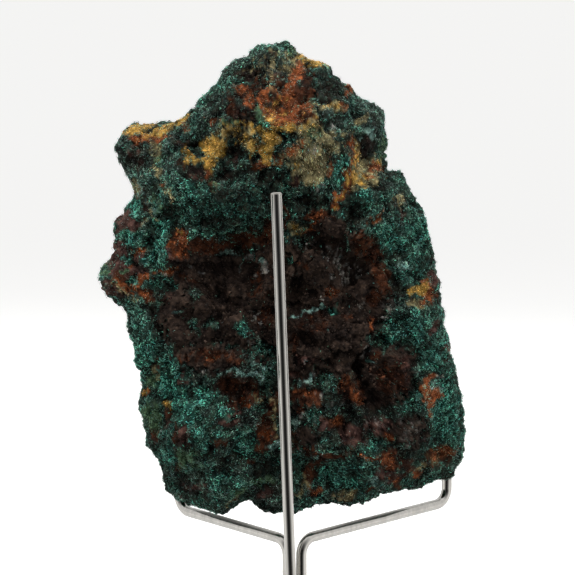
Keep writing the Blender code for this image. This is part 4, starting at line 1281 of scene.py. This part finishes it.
@dataclass
class NeedleFelt:
    """Brochantite needles: tufts that spread from the crust, and single ones across them."""

    palette: Palette
    tones: NeedleTones = NeedleTones()
    tufts: tuple[int, int] = (10800, 4400)  # near face, rest
    strays: tuple[int, int] = (40000, 8500)  # single needles: near face, rest
    spikes: int = 10  # in a tuft
    reach: Range = (0.30, 0.66)
    own_reach: Range = (0.75, 1.2)  # of the tuft's reach
    short: float = 0.3  # share of the length kept beside a rod
    sparse: float = 0.6  # share kept where little felt grows
    lean: Range = (12.0, 74.0)  # least tilt in degrees, and the range above it
    lean_power: float = 0.7  # makes steep spikes rare
    buried: float = 0.12  # root depth in mm
    foot: float = 0.45  # root's reach from the middle, in mm
    length: Range = (0.38, 1.0)  # single needle in mm
    flat: Range = (68.0, 93.0)  # its tilt in degrees
    slim: float = 0.8  # its thickness for each of a spike
    lift: Range = (0.08, 0.32)  # its least height in mm, and the range above it
    dark_tail: float = 0.5  # brightness of its lower end
    thickness: Range = (0.11, 0.22)
    comb_free: float = 0.35  # own direction kept when combed
    comb_rise: float = 0.25  # how much combed needles stand up
    comb_most: float = 0.8
    per_piece: int = 190000  # triangles in one mesh
    seed: int = 41
    spike_sides: ClassVar[list[Row]] = [(0, 2, 1), (0, 1, 3), (1, 2, 3), (2, 0, 3)]
    stray_sides: ClassVar[list[Row]] = [
        (0, 2, 1), (0, 3, 2), (0, 1, 3), (4, 1, 2), (4, 2, 3), (4, 3, 1)]

    def build(self, skin: Skin) -> list[Item]:
        """Grow every needle.

        Args:
            skin: The stone's finished surface.

        Returns:
            The needle meshes.
        """
        random = np.random.default_rng(self.seed)
        area, near = skin.areas()
        weight = area * skin.mean(skin.felt)
        kinds = (("tufts", self.tufts, self.grow_tufts, self.spike_sides),
                 ("needles", self.strays, self.lay_strays, self.stray_sides))
        pieces = []
        for part, (label, side) in enumerate((("near", near), ("far", ~near))):
            for name, counts, grow, sides in kinds:
                sites = skin.pick(weight * side, counts[part], random)
                vertices, tones = grow(sites, random)
                pieces += self.split(f"{name}_{label}", vertices, np.array(sides), tones)
        return pieces

    def split(self, name: str, vertices: Array, pattern: Array, tones: Array) -> list[Item]:
        """Join needles into meshes of a bounded size.

        Args:
            name: Start of the meshes' names.
            vertices: Corners, indexed by needle, corner and axis.
            pattern: Faces of one needle.
            tones: Colours, indexed like the corners.

        Returns:
            The meshes.
        """
        items = []
        step = self.per_piece // len(pattern)
        for number, start in enumerate(range(0, len(vertices), step), start=1):
            part = vertices[start:start + step]
            shade = tones[start:start + step]
            count, corners = part.shape[:2]
            faces = (np.arange(count)[:, None, None] * corners + pattern).reshape(-1, 3)
            items.append(joined_mesh(f"{name}_{number}", part.reshape(-1, 3), faces,
                                     shade.reshape(-1, 3)))
        return items

    def grow_tufts(self, sites: Skin, random: Random) -> tuple[Array, Array]:
        """Spikes that spread from each place.

        Args:
            sites: Roots of the tufts.
            random: Source of the draws.

        Returns:
            Corners and colours, indexed by needle, corner and axis.
        """
        tufts = len(sites.points)
        owner = np.repeat(np.arange(tufts), self.spikes)
        count = len(owner)
        tuft = random.normal(size=tufts)[owner]
        size = random.uniform(*self.reach, tufts)[owner] * random.uniform(*self.own_reach, count)
        single = sites.repeat(owner)
        size *= self.beside_rods(single) * (self.sparse + (1.0 - self.sparse) * single.felt) * MM
        least, more = self.lean
        tilt = np.radians(least + more * random.random(count) ** self.lean_power)
        axis = self.axes(single, tilt, random)
        side = unit(np.cross(axis, random.normal(size=(count, 3))))
        up = np.cross(axis, side)
        thick = random.uniform(*self.thickness, count) * MM / 2
        offset = unit(np.cross(single.normals, random.normal(size=(count, 3))))
        root = single.points - single.normals * (self.buried * MM) \
            + offset * (random.random(count) * self.foot * MM)[:, None]
        tip = root + axis * size[:, None]
        # The root corners get painted shade, the tip the painted highlight.
        body, shine, dim = self.tones.at(single, tuft, self.palette, random)
        return (np.stack([*self.ring(root, side, up, thick), tip], axis=1),
                np.stack([body * dim] * 3 + [shine], axis=1))

    def lay_strays(self, sites: Skin, random: Random) -> tuple[Array, Array]:
        """Spindles that lie across the tufts.

        Args:
            sites: Middles of the needles.
            random: Source of the draws.

        Returns:
            Corners and colours, indexed by needle, corner and axis.
        """
        count = len(sites.points)
        axis = self.axes(sites, np.radians(random.uniform(*self.flat, count)), random)
        side = unit(np.cross(axis, sites.normals + SKEW))
        up = np.cross(side, axis)
        length = random.uniform(*self.length, count) * self.beside_rods(sites) * MM
        thick = random.uniform(*self.thickness, count) * self.slim * MM / 2
        least, more = self.lift
        lift = (least + more * random.random(count)) * sites.room * MM
        middle = sites.points + sites.normals * lift[:, None]
        half = axis * (0.5 * length)[:, None]
        # One end takes the painted highlight, the other a darker tone.
        body, shine, _ = self.tones.at(sites, random.normal(size=count), self.palette, random)
        ring = self.ring(middle, side, up, thick)
        return (np.stack([middle - half, *ring, middle + half], axis=1),
                np.stack([body * self.dark_tail, *[body] * 3, shine], axis=1))

    def beside_rods(self, sites: Skin) -> Array:
        """Share of its length that a needle keeps at each place."""
        return self.short + (1.0 - self.short) * sites.room

    @staticmethod
    def ring(middle: Array, side: Array, up: Array, thick: Array) -> list[Array]:
        """Three corners round the middle of each needle."""
        return [middle + (side * math.cos(turn) + up * math.sin(turn)) * thick[:, None]
                for turn in (0.0, math.tau / 3, 2 * math.tau / 3)]

    def axes(self, sites: Skin, tilt: Array, random: Random) -> Array:
        """Directions of needles, combed where the skin says.

        Args:
            sites: Where they stand.
            tilt: Their tilts from the normal, in radians.
            random: Source of the draws.

        Returns:
            Rows of directions.
        """
        heading = unit(np.cross(sites.normals, random.normal(size=(len(tilt), 3))))
        free = sites.normals * np.cos(tilt)[:, None] + heading * np.sin(tilt)[:, None]
        combed = sites.combing + self.comb_free * free
        strength = np.clip(np.linalg.norm(sites.combing, axis=1), 0.0, 1.0)
        return unit(blend(free, combed + sites.normals * self.comb_rise, self.comb_most * strength))


# --- stand ---

@dataclass(frozen=True)
class Foot:
    """Sizes of the turned foot, in metres."""

    disc_top: float = 9.0 * MM  # height of the disc
    collar: float = 6.5 * MM
    socket: float = 3.7 * MM  # radius of the rods' hole
    socket_depth: float = 12.0 * MM
    rim: float = 1.2 * MM  # rounding of the disc's edge
    heel: float = 0.6 * MM  # bevel below
    ease: float = 0.8 * MM  # rounding of the collar's foot and edge
    nick: float = 0.2 * MM
    shoulder: float = 0.25 * MM  # how far the collar's edge draws in
    flat: Range = (0.12, 0.5)  # middle facet of the rim
    steps: int = 128
    smooth: float = 35.0

    def section(self, radius: float, top: float) -> list[tuple[float, float]]:
        """Half the section as radius and height, from the underside's middle to the socket's.

        Args:
            radius: Radius of the disc.
            top: Height of the collar's top.

        Returns:
            Corners of the open line that the spin closes.
        """
        disc, collar, rim, ease, nick = self.disc_top, self.collar, self.rim, self.ease, self.nick
        near, half = self.flat
        floor = top - self.socket_depth
        return [
            (0.0, 0.0), (radius - self.heel, 0.0), (radius, self.heel), (radius, disc - rim),
            (radius - near * rim, disc - half * rim), (radius - half * rim, disc - near * rim),
            (radius - rim, disc), (collar + ease, disc), (collar + nick, disc + nick),
            (collar, disc + ease), (collar, top - ease), (collar - self.shoulder, top - nick),
            (collar - ease, top), (self.socket, top), (self.socket, floor), (0.0, floor),
        ]


@dataclass
class WireStand:
    """The three bent rods and the turned foot."""

    radius: float = 1.30 * MM
    bend_radius: float = 3.8 * MM  # of the centre line
    tip_round: float = 0.35 * MM
    crown: float = 0.3 * MM  # how far the back rod ends past its packed end
    lean: float = 0.3 * MM  # how far its foot stands to the right
    arm_heights: tuple[float, float] = (45.3 * MM, 45.5 * MM)  # of the left and the right arm
    sides: int = 40
    bend_steps: int = 14
    tip_steps: int = 3
    smooth: float = 40.0
    foot: Foot = Foot()

    def centre_lines(self) -> dict[str, list[Vector]]:
        """Corners of each rod's centre line from its foot, by node name."""
        low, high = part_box("back_rod")
        middle = (low.y + high.y) / 2
        lines = {"back_rod": [Vector((high.x - self.radius + self.lean, middle, low.z)),
                              Vector((low.x + self.radius, middle, high.z + self.crown))]}
        for node, height in zip(("left_arm_rod", "right_arm_rod"), self.arm_heights):
            low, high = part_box(node)
            ends = low.x + self.radius, high.x - self.radius
            corner_x, stem_x = ends if node == "left_arm_rod" else ends[::-1]
            near, far = low.y + self.radius, high.y - self.radius
            lines[node] = [Vector((stem_x, near, low.z)), Vector((stem_x, near, height)),
                           Vector((corner_x, far, height)), Vector((corner_x, far, high.z))]
        return lines

    def build(self) -> dict[str, Item]:
        """Model the rods and the foot.

        Returns:
            The new pieces by the name of the node that each replaces.
        """
        pieces = {node: self.bend_rod(node.replace("rod", "wire"), line)
                  for node, line in self.centre_lines().items()}
        pieces["base"] = self.turn_base()
        return pieces

    def bend_rod(self, name: str, line: list[Vector]) -> Item:
        """Draw a rod: extrude each straight run, spin each bend, round the tip.

        Args:
            name: Name of the new piece.
            line: Corners of the centre line, from the foot.

        Returns:
            The rod.
        """
        run = (line[1] - line[0]).normalized()
        bpy.ops.object.select_all(action="DESELECT")
        bpy.ops.mesh.primitive_circle_add(
            vertices=self.sides, radius=self.radius, fill_type="NGON",
            location=line[0], rotation=run.to_track_quat("Z", "Y").to_euler())
        item = bpy.context.object
        item.name = item.data.name = name
        bpy.ops.object.transform_apply(location=True, rotation=True, scale=True)
        bpy.ops.object.mode_set(mode="EDIT")
        bpy.ops.mesh.select_all(action="SELECT")
        place = line[0]
        for corner, after in zip(line[1:], line[2:]):
            turn = (after - corner).normalized()
            angle = run.angle(turn)
            trim = self.bend_radius * math.tan(angle / 2)
            self.extrude(corner - run * trim - place)
            hinge = run.cross(turn).normalized()
            centre = corner - run * trim + hinge.cross(run) * self.bend_radius
            bpy.ops.mesh.spin(steps=self.bend_steps, angle=-angle, center=centre, axis=hinge)
            place = corner + turn * trim
            run = turn
        self.extrude(line[-1] - place)
        bpy.ops.mesh.bevel(offset=self.tip_round, segments=self.tip_steps, affect="EDGES")
        finish_shape(item, self.smooth)
        return item

    @staticmethod
    def extrude(step: Vector) -> None:
        """Extrude the selected end face by a step."""
        bpy.ops.mesh.extrude_region_move(TRANSFORM_OT_translate={"value": step})

    def turn_base(self) -> Item:
        """Turn the foot: draw half its section and spin it round the axis."""
        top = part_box("base")[1]
        section = self.foot.section(top.x, top.z)
        mesh = bpy.data.meshes.new("turned_base")
        mesh.from_pydata([(x, 0.0, z) for x, z in section],
                         [(index, index + 1) for index in range(len(section) - 1)], [])
        item = new_item("turned_base", mesh)
        select_only(item)
        bpy.ops.object.mode_set(mode="EDIT")
        bpy.ops.mesh.select_all(action="SELECT")
        bpy.ops.mesh.spin(steps=self.foot.steps, angle=math.tau, center=(0, 0, 0), axis=(0, 0, 1))
        finish_shape(item, self.foot.smooth)
        return item


# --- finishes ---

class Nodes:
    """Shorthand for building one node tree."""

    mix_inputs: tuple[int, int, int] = (0, 6, 7)  # factor, first colour, second colour
    mix_output: int = 2

    def __init__(self, tree: bpy.types.NodeTree) -> None:
        """Keep the tree that the nodes go into."""
        self.tree = tree

    def add(self, kind: str, **settings: object) -> bpy.types.Node:
        """Add a node and set its properties."""
        node = self.tree.nodes.new(kind)
        for key, value in settings.items():
            setattr(node, key, value)
        return node

    def link(self, source: Socket, target: Socket) -> None:
        """Join an output to an input."""
        self.tree.links.new(source, target)

    def noise(self, coordinates: Socket, scale: float, detail: float, roughness: float) -> Socket:
        """Noise on the given coordinates; returns its factor."""
        node = self.add("ShaderNodeTexNoise")
        node.inputs["Scale"].default_value = scale
        node.inputs["Detail"].default_value = detail
        node.inputs["Roughness"].default_value = roughness
        self.link(coordinates, node.inputs["Vector"])
        return node.outputs["Fac"]

    def ramp(self, factor: Socket, stops: Sequence[tuple[float, Colour]]) -> Socket:
        """Colour ramp over a factor.

        Args:
            factor: What the ramp reads.
            stops: Places and their colours.

        Returns:
            The ramp's colour.
        """
        node = self.add("ShaderNodeValToRGB")
        elements = node.color_ramp.elements
        while len(elements) < len(stops):
            elements.new(0.5)
        for element, (place, colour) in zip(elements, stops):
            element.position = place
            element.color = (*colour, 1.0)
        self.link(factor, node.inputs["Fac"])
        return node.outputs["Color"]

    def mix(self, first: Socket, second: Socket, share: Socket | float, way: str = "MIX") -> Socket:
        """Lay one colour over another.

        Args:
            first: The colour below.
            second: The colour above.
            share: How much of the second shows.
            way: The node's blend type.

        Returns:
            The colour.
        """
        node = self.add("ShaderNodeMix", data_type="RGBA", blend_type=way)
        factor, below, above = (node.inputs[index] for index in self.mix_inputs)
        if isinstance(share, float):
            factor.default_value = share
        else:
            self.link(share, factor)
        self.link(first, below)
        self.link(second, above)
        return node.outputs[self.mix_output]

    def multiply(self, first: Socket, second: Socket) -> Socket:
        """Multiply two colours; returns the product."""
        return self.mix(first, second, 1.0, "MULTIPLY")

    def combine(self, operation: str, first: Socket, second: Socket) -> Socket:
        """Combine two values; returns the result."""
        node = self.add("ShaderNodeMath", operation=operation)
        self.link(first, node.inputs[0])
        self.link(second, node.inputs[1])
        return node.outputs[0]

    def remap(self, value: Socket, low: float, high: float, to_low: float,
              to_high: float) -> Socket:
        """Map a range of values to another; returns the result."""
        node = self.add("ShaderNodeMapRange")
        for socket, number in zip(node.inputs[1:5], (low, high, to_low, to_high)):
            socket.default_value = number
        self.link(value, node.inputs[0])
        return node.outputs[0]

    def bump(self, height: Socket, strength: float, distance: float) -> Socket:
        """Bump from a height; returns the normal."""
        node = self.add("ShaderNodeBump")
        node.inputs["Strength"].default_value = strength
        node.inputs["Distance"].default_value = distance
        self.link(height, node.inputs["Height"])
        return node.outputs["Normal"]


def new_material(name: str) -> tuple[bpy.types.Material, Nodes, bpy.types.Node]:
    """Start a material.

    Args:
        name: The material's name.

    Returns:
        The material, its nodes and its Principled shader.
    """
    material = bpy.data.materials.new(name)
    material.use_nodes = True
    shader = material.node_tree.nodes["Principled BSDF"]
    return material, Nodes(material.node_tree), shader


def new_group(name: str, inputs: dict[str, str],
              outputs: dict[str, str]) -> tuple[Nodes, bpy.types.Node, bpy.types.Node]:
    """Start a shader node group.

    Args:
        name: The group's name.
        inputs: Type of each input socket by its name.
        outputs: Type of each output socket by its name.

    Returns:
        The group's nodes, its input node and its output node.
    """
    group = bpy.data.node_groups.new(name, "ShaderNodeTree")
    for sockets, way in ((inputs, "INPUT"), (outputs, "OUTPUT")):
        for label, kind in sockets.items():
            group.interface.new_socket(label, in_out=way, socket_type=f"NodeSocket{kind}")
    nodes = Nodes(group)
    return nodes, nodes.add("NodeGroupInput"), nodes.add("NodeGroupOutput")


@dataclass(frozen=True)
class MineralGrain:
    """Group that breaks a mineral's colour up into fine grains and gives their height."""

    fine: Range = (5.0, 0.7)  # detail, roughness
    cloud: Triple = (420.0, 3.0, 0.6)  # scale, detail, roughness
    # Places with factors on the colour.
    specks: tuple[tuple[float, Colour], ...] = (
        (0.32, (0.40, 0.40, 0.42)), (0.5, (0.95, 0.95, 0.95)), (0.7, (1.6, 1.55, 1.5)))
    clouds: tuple[tuple[float, Colour], ...] = (
        (0.35, (0.70, 0.72, 0.76)), (0.65, (1.22, 1.18, 1.12)))

    def make(self) -> bpy.types.NodeTree:
        """Build the group."""
        nodes, start, end = new_group("mineral_grain", {"Color": "Color", "Scale": "Float"},
                                      {"Color": "Color", "Height": "Float"})
        place = nodes.add("ShaderNodeTexCoord").outputs["Object"]
        fine = nodes.noise(place, 1.0, *self.fine)
        nodes.link(start.outputs["Scale"], fine.node.inputs["Scale"])
        speck = nodes.ramp(fine, self.specks)
        cloud = nodes.ramp(nodes.noise(place, *self.cloud), self.clouds)
        shaded = nodes.multiply(start.outputs["Color"], nodes.multiply(speck, cloud))
        nodes.link(shaded, end.inputs["Color"])
        nodes.link(fine, end.inputs["Height"])
        return nodes.tree


@dataclass(frozen=True)
class SteelLines:
    """Group of the fine lines that drawing or turning leaves, and of faint clouds."""

    lines: Range = (3.0, 0.6)  # detail, roughness
    passage: Range = (0.3, 0.7)  # from dark to light
    cloud: Triple = (140.0, 3.0, 0.5)  # scale, detail, roughness

    def make(self) -> bpy.types.NodeTree:
        """Build the group."""
        nodes, start, end = new_group(
            "steel_lines", {"Dark": "Color", "Light": "Color", "Stretch": "Vector"},
            {"Color": "Color", "Height": "Float", "Cloud": "Float"})
        place = nodes.add("ShaderNodeTexCoord").outputs["Object"]
        mapping = nodes.add("ShaderNodeMapping")
        nodes.link(start.outputs["Stretch"], mapping.inputs["Scale"])
        nodes.link(place, mapping.inputs["Vector"])
        lines = nodes.noise(mapping.outputs["Vector"], 1.0, *self.lines)
        tone = nodes.mix(start.outputs["Dark"], start.outputs["Light"],
                         nodes.remap(lines, *self.passage, 0.0, 1.0))
        nodes.link(tone, end.inputs["Color"])
        nodes.link(lines, end.inputs["Height"])
        nodes.link(nodes.noise(place, *self.cloud), end.inputs["Cloud"])
        return nodes.tree


@dataclass(frozen=True)
class MineralFinish:
    """A mineral surface coloured by its own tone and broken up by the grain group."""

    name: str
    scale: float  # of the finest grain, per metre
    roughness: float
    specular: float
    bump: float  # height in metres, 0 for none
    bump_strength: float = 0.9

    def make(self, group: bpy.types.NodeTree) -> bpy.types.Material:
        """Build the material.

        Args:
            group: The shared grain group.

        Returns:
            The material.
        """
        material, nodes, shader = new_material(self.name)
        tone = nodes.add("ShaderNodeAttribute", attribute_name="tone")
        grain = nodes.add("ShaderNodeGroup", node_tree=group)
        grain.inputs["Scale"].default_value = self.scale
        nodes.link(tone.outputs["Color"], grain.inputs["Color"])
        nodes.link(grain.outputs["Color"], shader.inputs["Base Color"])
        shader.inputs["Roughness"].default_value = self.roughness
        shader.inputs["Specular IOR Level"].default_value = self.specular
        if self.bump:
            normal = nodes.bump(grain.outputs["Height"], self.bump_strength, self.bump)
            nodes.link(normal, shader.inputs["Normal"])
        return material


@dataclass(frozen=True)
class SteelFinish:
    """Stainless steel with fine lines from drawing or turning."""

    name: str
    colour: Colour
    roughness: Range  # smoothest and roughest
    stretch: Triple  # scale of the lines, per metre
    graze: Range = (1.0, 1.0)  # metallic flat on, and at a grazing angle
    shades: Range = (0.86, 1.08)  # factors in and between the lines
    cloudy: Range = (0.3, 0.7)  # places where the roughness changes
    facing: Range = (0.3, 0.65)  # passage to the grazing look
    bump: float = 0.02 * MM
    bump_strength: float = 0.12

    def make(self, group: bpy.types.NodeTree) -> bpy.types.Material:
        """Build the material.

        Args:
            group: The shared group of lines.

        Returns:
            The material.
        """
        material, nodes, shader = new_material(self.name)
        steel = nodes.add("ShaderNodeGroup", node_tree=group)
        for label, shade in zip(("Dark", "Light"), self.shades):
            steel.inputs[label].default_value = (*(shade * part for part in self.colour), 1.0)
        steel.inputs["Stretch"].default_value = self.stretch
        nodes.link(steel.outputs["Color"], shader.inputs["Base Color"])
        nodes.link(nodes.remap(steel.outputs["Cloud"], *self.cloudy, *self.roughness),
                   shader.inputs["Roughness"])
        facing = nodes.add("ShaderNodeLayerWeight").outputs["Facing"]
        nodes.link(nodes.remap(facing, *self.facing, *self.graze), shader.inputs["Metallic"])
        nodes.link(nodes.bump(steel.outputs["Height"], self.bump_strength, self.bump),
                   shader.inputs["Normal"])
        return material


# --- studio ---

@dataclass(frozen=True)
class SoftBox:
    """A rectangular soft light with a grid, aimed at the target."""

    name: str
    place: Triple
    size: Range
    watts: float
    spread: float = 60.0  # angle that the grid lets through, in degrees

    def hang(self, target: Vector) -> None:
        """Hang the light; mirrors don't see it.

        Args:
            target: The point that it is aimed at.
        """
        data = bpy.data.lights.new(self.name, "AREA")
        data.shape = "RECTANGLE"
        data.size, data.size_y = self.size
        data.energy = self.watts
        data.spread = math.radians(self.spread)
        lamp = new_item(self.name, data)
        lamp.visible_glossy = False
        lamp.location = self.place
        lamp.rotation_euler = (target - Vector(self.place)).to_track_quat("-Z", "Y").to_euler()


SOFT_BOXES: list[SoftBox] = [
    SoftBox("overhead", (0.0, -0.25, 0.75), (0.6, 0.4), 0.72),
    SoftBox("left", (-0.6, -0.30, 0.30), (0.35, 0.6), 0.50),
    SoftBox("right", (0.6, -0.30, 0.30), (0.35, 0.6), 0.47),
    SoftBox("behind", (0.1, 0.75, 0.40), (0.7, 0.4), 0.55),
]


@dataclass
class Studio:
    """Floor, lights, surround and camera."""

    target: Vector = Vector((-0.0017, 0.0012, 0.107))  # metres
    distance: float = 0.5423  # of the camera, in metres
    elevation: float = 9.0
    focal_pixels: float = 2291.0  # of a frame that is frame_pixels wide
    frame_pixels: float = 575.0
    sensor: float = 36.0  # width in mm
    clip: Range = (0.01, 60.0)
    floor_half: float = 9.0
    floor_gap: float = 0.02 * MM
    floor_colour: Colour = (0.94, 0.94, 0.93)  # seen directly
    floor_bounce: Colour = (0.34, 0.34, 0.33)  # what lights the object
    floor_glow: float = 0.36
    glow_colour: Colour = (1.0, 0.995, 0.985)
    floor_rough: float = 0.9
    sky: Range = (0.26, 0.70)  # brightness at the horizon, and gain overhead
    backdrop: Colour = (0.90, 0.90, 0.89)
    dark_side: Range = (-0.92, -0.35)  # directions, by y, where mirrors see the light come up
    mirrored: Range = (0.02, 0.95)  # darkest and brightest in mirrors
    close: Range = (0.03, 0.085)  # metres over which the floor's light in mirrors fades
    # Heights between which mirrors see a faint light, and that light.
    above: tuple[float, float, float, float] = (0.10, 0.70, 0.0, 0.22)

    def build(self) -> None:
        """Set up everything around the object."""
        self.place_camera()
        self.lay_floor()
        for box in SOFT_BOXES:
            box.hang(self.target)
        self.light_world()
        bpy.context.scene.view_settings.view_transform = "Standard"

    def place_camera(self) -> None:
        """Camera on the near side, a little above, looking slightly down."""
        data = bpy.data.cameras.new("camera")
        camera = new_item("camera", data)
        lift = math.radians(self.elevation)
        offset = Vector((0.0, -math.cos(lift), math.sin(lift))) * self.distance
        camera.location = self.target + offset
        camera.rotation_euler = (-offset).to_track_quat("-Z", "Y").to_euler()
        data.sensor_width = self.sensor
        data.lens = self.sensor * self.focal_pixels / self.frame_pixels
        data.clip_start, data.clip_end = self.clip
        bpy.context.scene.camera = camera

    def lay_floor(self) -> None:
        """Plain pale floor that throws little light back up."""
        bpy.ops.object.select_all(action="DESELECT")
        bpy.ops.mesh.primitive_plane_add(size=2 * self.floor_half,
                                         location=(0, 0, -self.floor_gap))
        floor = bpy.context.object
        floor.name = "floor"
        bpy.ops.object.transform_apply(location=True, rotation=True, scale=True)
        material, nodes, shader = new_material("pale_floor")
        rays = nodes.add("ShaderNodeLightPath").outputs
        seen = nodes.ramp(rays["Is Camera Ray"],
                          [(0.0, self.floor_bounce), (1.0, self.floor_colour)])
        unlit = nodes.ramp(rays["Is Glossy Ray"], [(0.0, WHITE), (1.0, BLACK)])
        nodes.link(nodes.multiply(seen, unlit), shader.inputs["Base Color"])
        shader.inputs["Emission Color"].default_value = (*self.glow_colour, 1.0)
        place = nodes.add("ShaderNodeTexCoord").outputs["Object"]
        reach = nodes.add("ShaderNodeVectorMath", operation="LENGTH")
        nodes.link(place, reach.inputs[0])
        close = nodes.remap(reach.outputs["Value"], *self.close, self.mirrored[1], 0.0)
        mirrored = nodes.combine("MAXIMUM", self.mirror_light(nodes, place), close)
        mirrored = nodes.combine("MULTIPLY", mirrored, rays["Is Glossy Ray"])
        glow = nodes.remap(rays["Is Camera Ray"], 0.0, 1.0, 0.0, self.floor_glow)
        nodes.link(nodes.combine("ADD", mirrored, glow), shader.inputs["Emission Strength"])
        shader.inputs["Roughness"].default_value = self.floor_rough
        shader.inputs["Specular IOR Level"].default_value = 0.0
        floor.data.materials.append(material)

    def mirror_light(self, nodes: Nodes, way: Socket) -> Socket:
        """Brightness that a mirror sees in a direction: dark on the viewer's side."""
        aim = nodes.add("ShaderNodeVectorMath", operation="NORMALIZE")
        nodes.link(way, aim.inputs[0])
        split = nodes.add("ShaderNodeSeparateXYZ")
        nodes.link(aim.outputs["Vector"], split.inputs[0])
        return nodes.remap(split.outputs["Y"], *self.dark_side, *self.mirrored)

    def light_world(self) -> None:
        """Pale surround, brighter overhead; mirrors see it dark where the viewer stands."""
        world = bpy.data.worlds.new("surround")
        world.use_nodes = True
        bpy.context.scene.world = world
        world.node_tree.nodes.clear()
        nodes = Nodes(world.node_tree)
        way = nodes.add("ShaderNodeTexCoord").outputs["Generated"]
        split = nodes.add("ShaderNodeSeparateXYZ")
        nodes.link(way, split.inputs[0])
        horizon, gain = self.sky
        soft = nodes.remap(split.outputs["Z"], 0.0, 1.0, horizon, horizon + gain)
        above = nodes.remap(split.outputs["Z"], *self.above)
        mirrored = nodes.combine("MAXIMUM", self.mirror_light(nodes, way), above)
        lit, reflected, seen = (nodes.add("ShaderNodeBackground") for _ in range(3))
        nodes.link(soft, lit.inputs["Strength"])
        nodes.link(mirrored, reflected.inputs["Strength"])
        seen.inputs["Color"].default_value = (*self.backdrop, 1.0)
        rays = nodes.add("ShaderNodeLightPath").outputs
        light = lit.outputs[0]
        for ray, other in (("Is Glossy Ray", reflected), ("Is Camera Ray", seen)):
            mix = nodes.add("ShaderNodeMixShader")
            nodes.link(rays[ray], mix.inputs[0])
            nodes.link(light, mix.inputs[1])
            nodes.link(other.outputs[0], mix.inputs[2])
            light = mix.outputs[0]
        nodes.link(light, nodes.add("ShaderNodeOutputWorld").inputs["Surface"])


# --- assembly ---

CRUST = MineralFinish("crust_and_limonite", scale=900.0, roughness=0.85, specular=0.08,
                      bump=0.3 * MM)
CRUMB = MineralFinish("limonite_crumb", scale=1500.0, roughness=0.7, specular=0.15,
                      bump=0.1 * MM)
NEEDLE = MineralFinish("brochantite_needle", scale=1200.0, roughness=0.45, specular=0.18, bump=0.0)
WIRE = SteelFinish("drawn_wire", colour=(0.64, 0.62, 0.58), roughness=(0.11, 0.18),
                   stretch=(900.0, 900.0, 60.0), graze=(1.0, 0.1))
TURNED = SteelFinish("turned_steel", colour=(0.60, 0.59, 0.57), roughness=(0.34, 0.48),
                     stretch=(500.0, 500.0, 500.0))


def install(item: Item, material: bpy.types.Material, slot: Slot, *replaced: str) -> None:
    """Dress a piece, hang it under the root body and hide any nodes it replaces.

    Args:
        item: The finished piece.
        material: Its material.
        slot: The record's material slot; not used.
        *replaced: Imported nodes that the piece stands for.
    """
    item.data.materials.clear()
    item.data.materials.append(material)
    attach(item, "root")
    if replaced:
        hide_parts(*replaced)
    LOG.info("%s: %d faces", item.name, len(item.data.polygons))


def main() -> None:
    """Build and dress every piece, then the studio."""
    logging.basicConfig(level=logging.INFO, format="%(message)s")
    palette = Palette()
    stand = WireStand()
    grain = MineralGrain().make()
    lines = SteelLines().make()

    stone, skin = Stone(list(stand.centre_lines().values()), palette).build()
    install(stone, CRUST.make(grain), Slot.STONE, "specimen")
    install(Crumbs(palette).build(skin), CRUMB.make(grain), Slot.STONE)
    needle = NEEDLE.make(grain)
    for felt in NeedleFelt(palette).build(skin):
        install(felt, needle, Slot.STONE)

    wire, turned = WIRE.make(lines), TURNED.make(lines)
    for node, piece in stand.build().items():
        is_base = node == "base"
        install(piece, turned if is_base else wire, Slot.BASE if is_base else Slot.ROD, node)
    Studio().build()


if __name__ == "__main__":
    main()
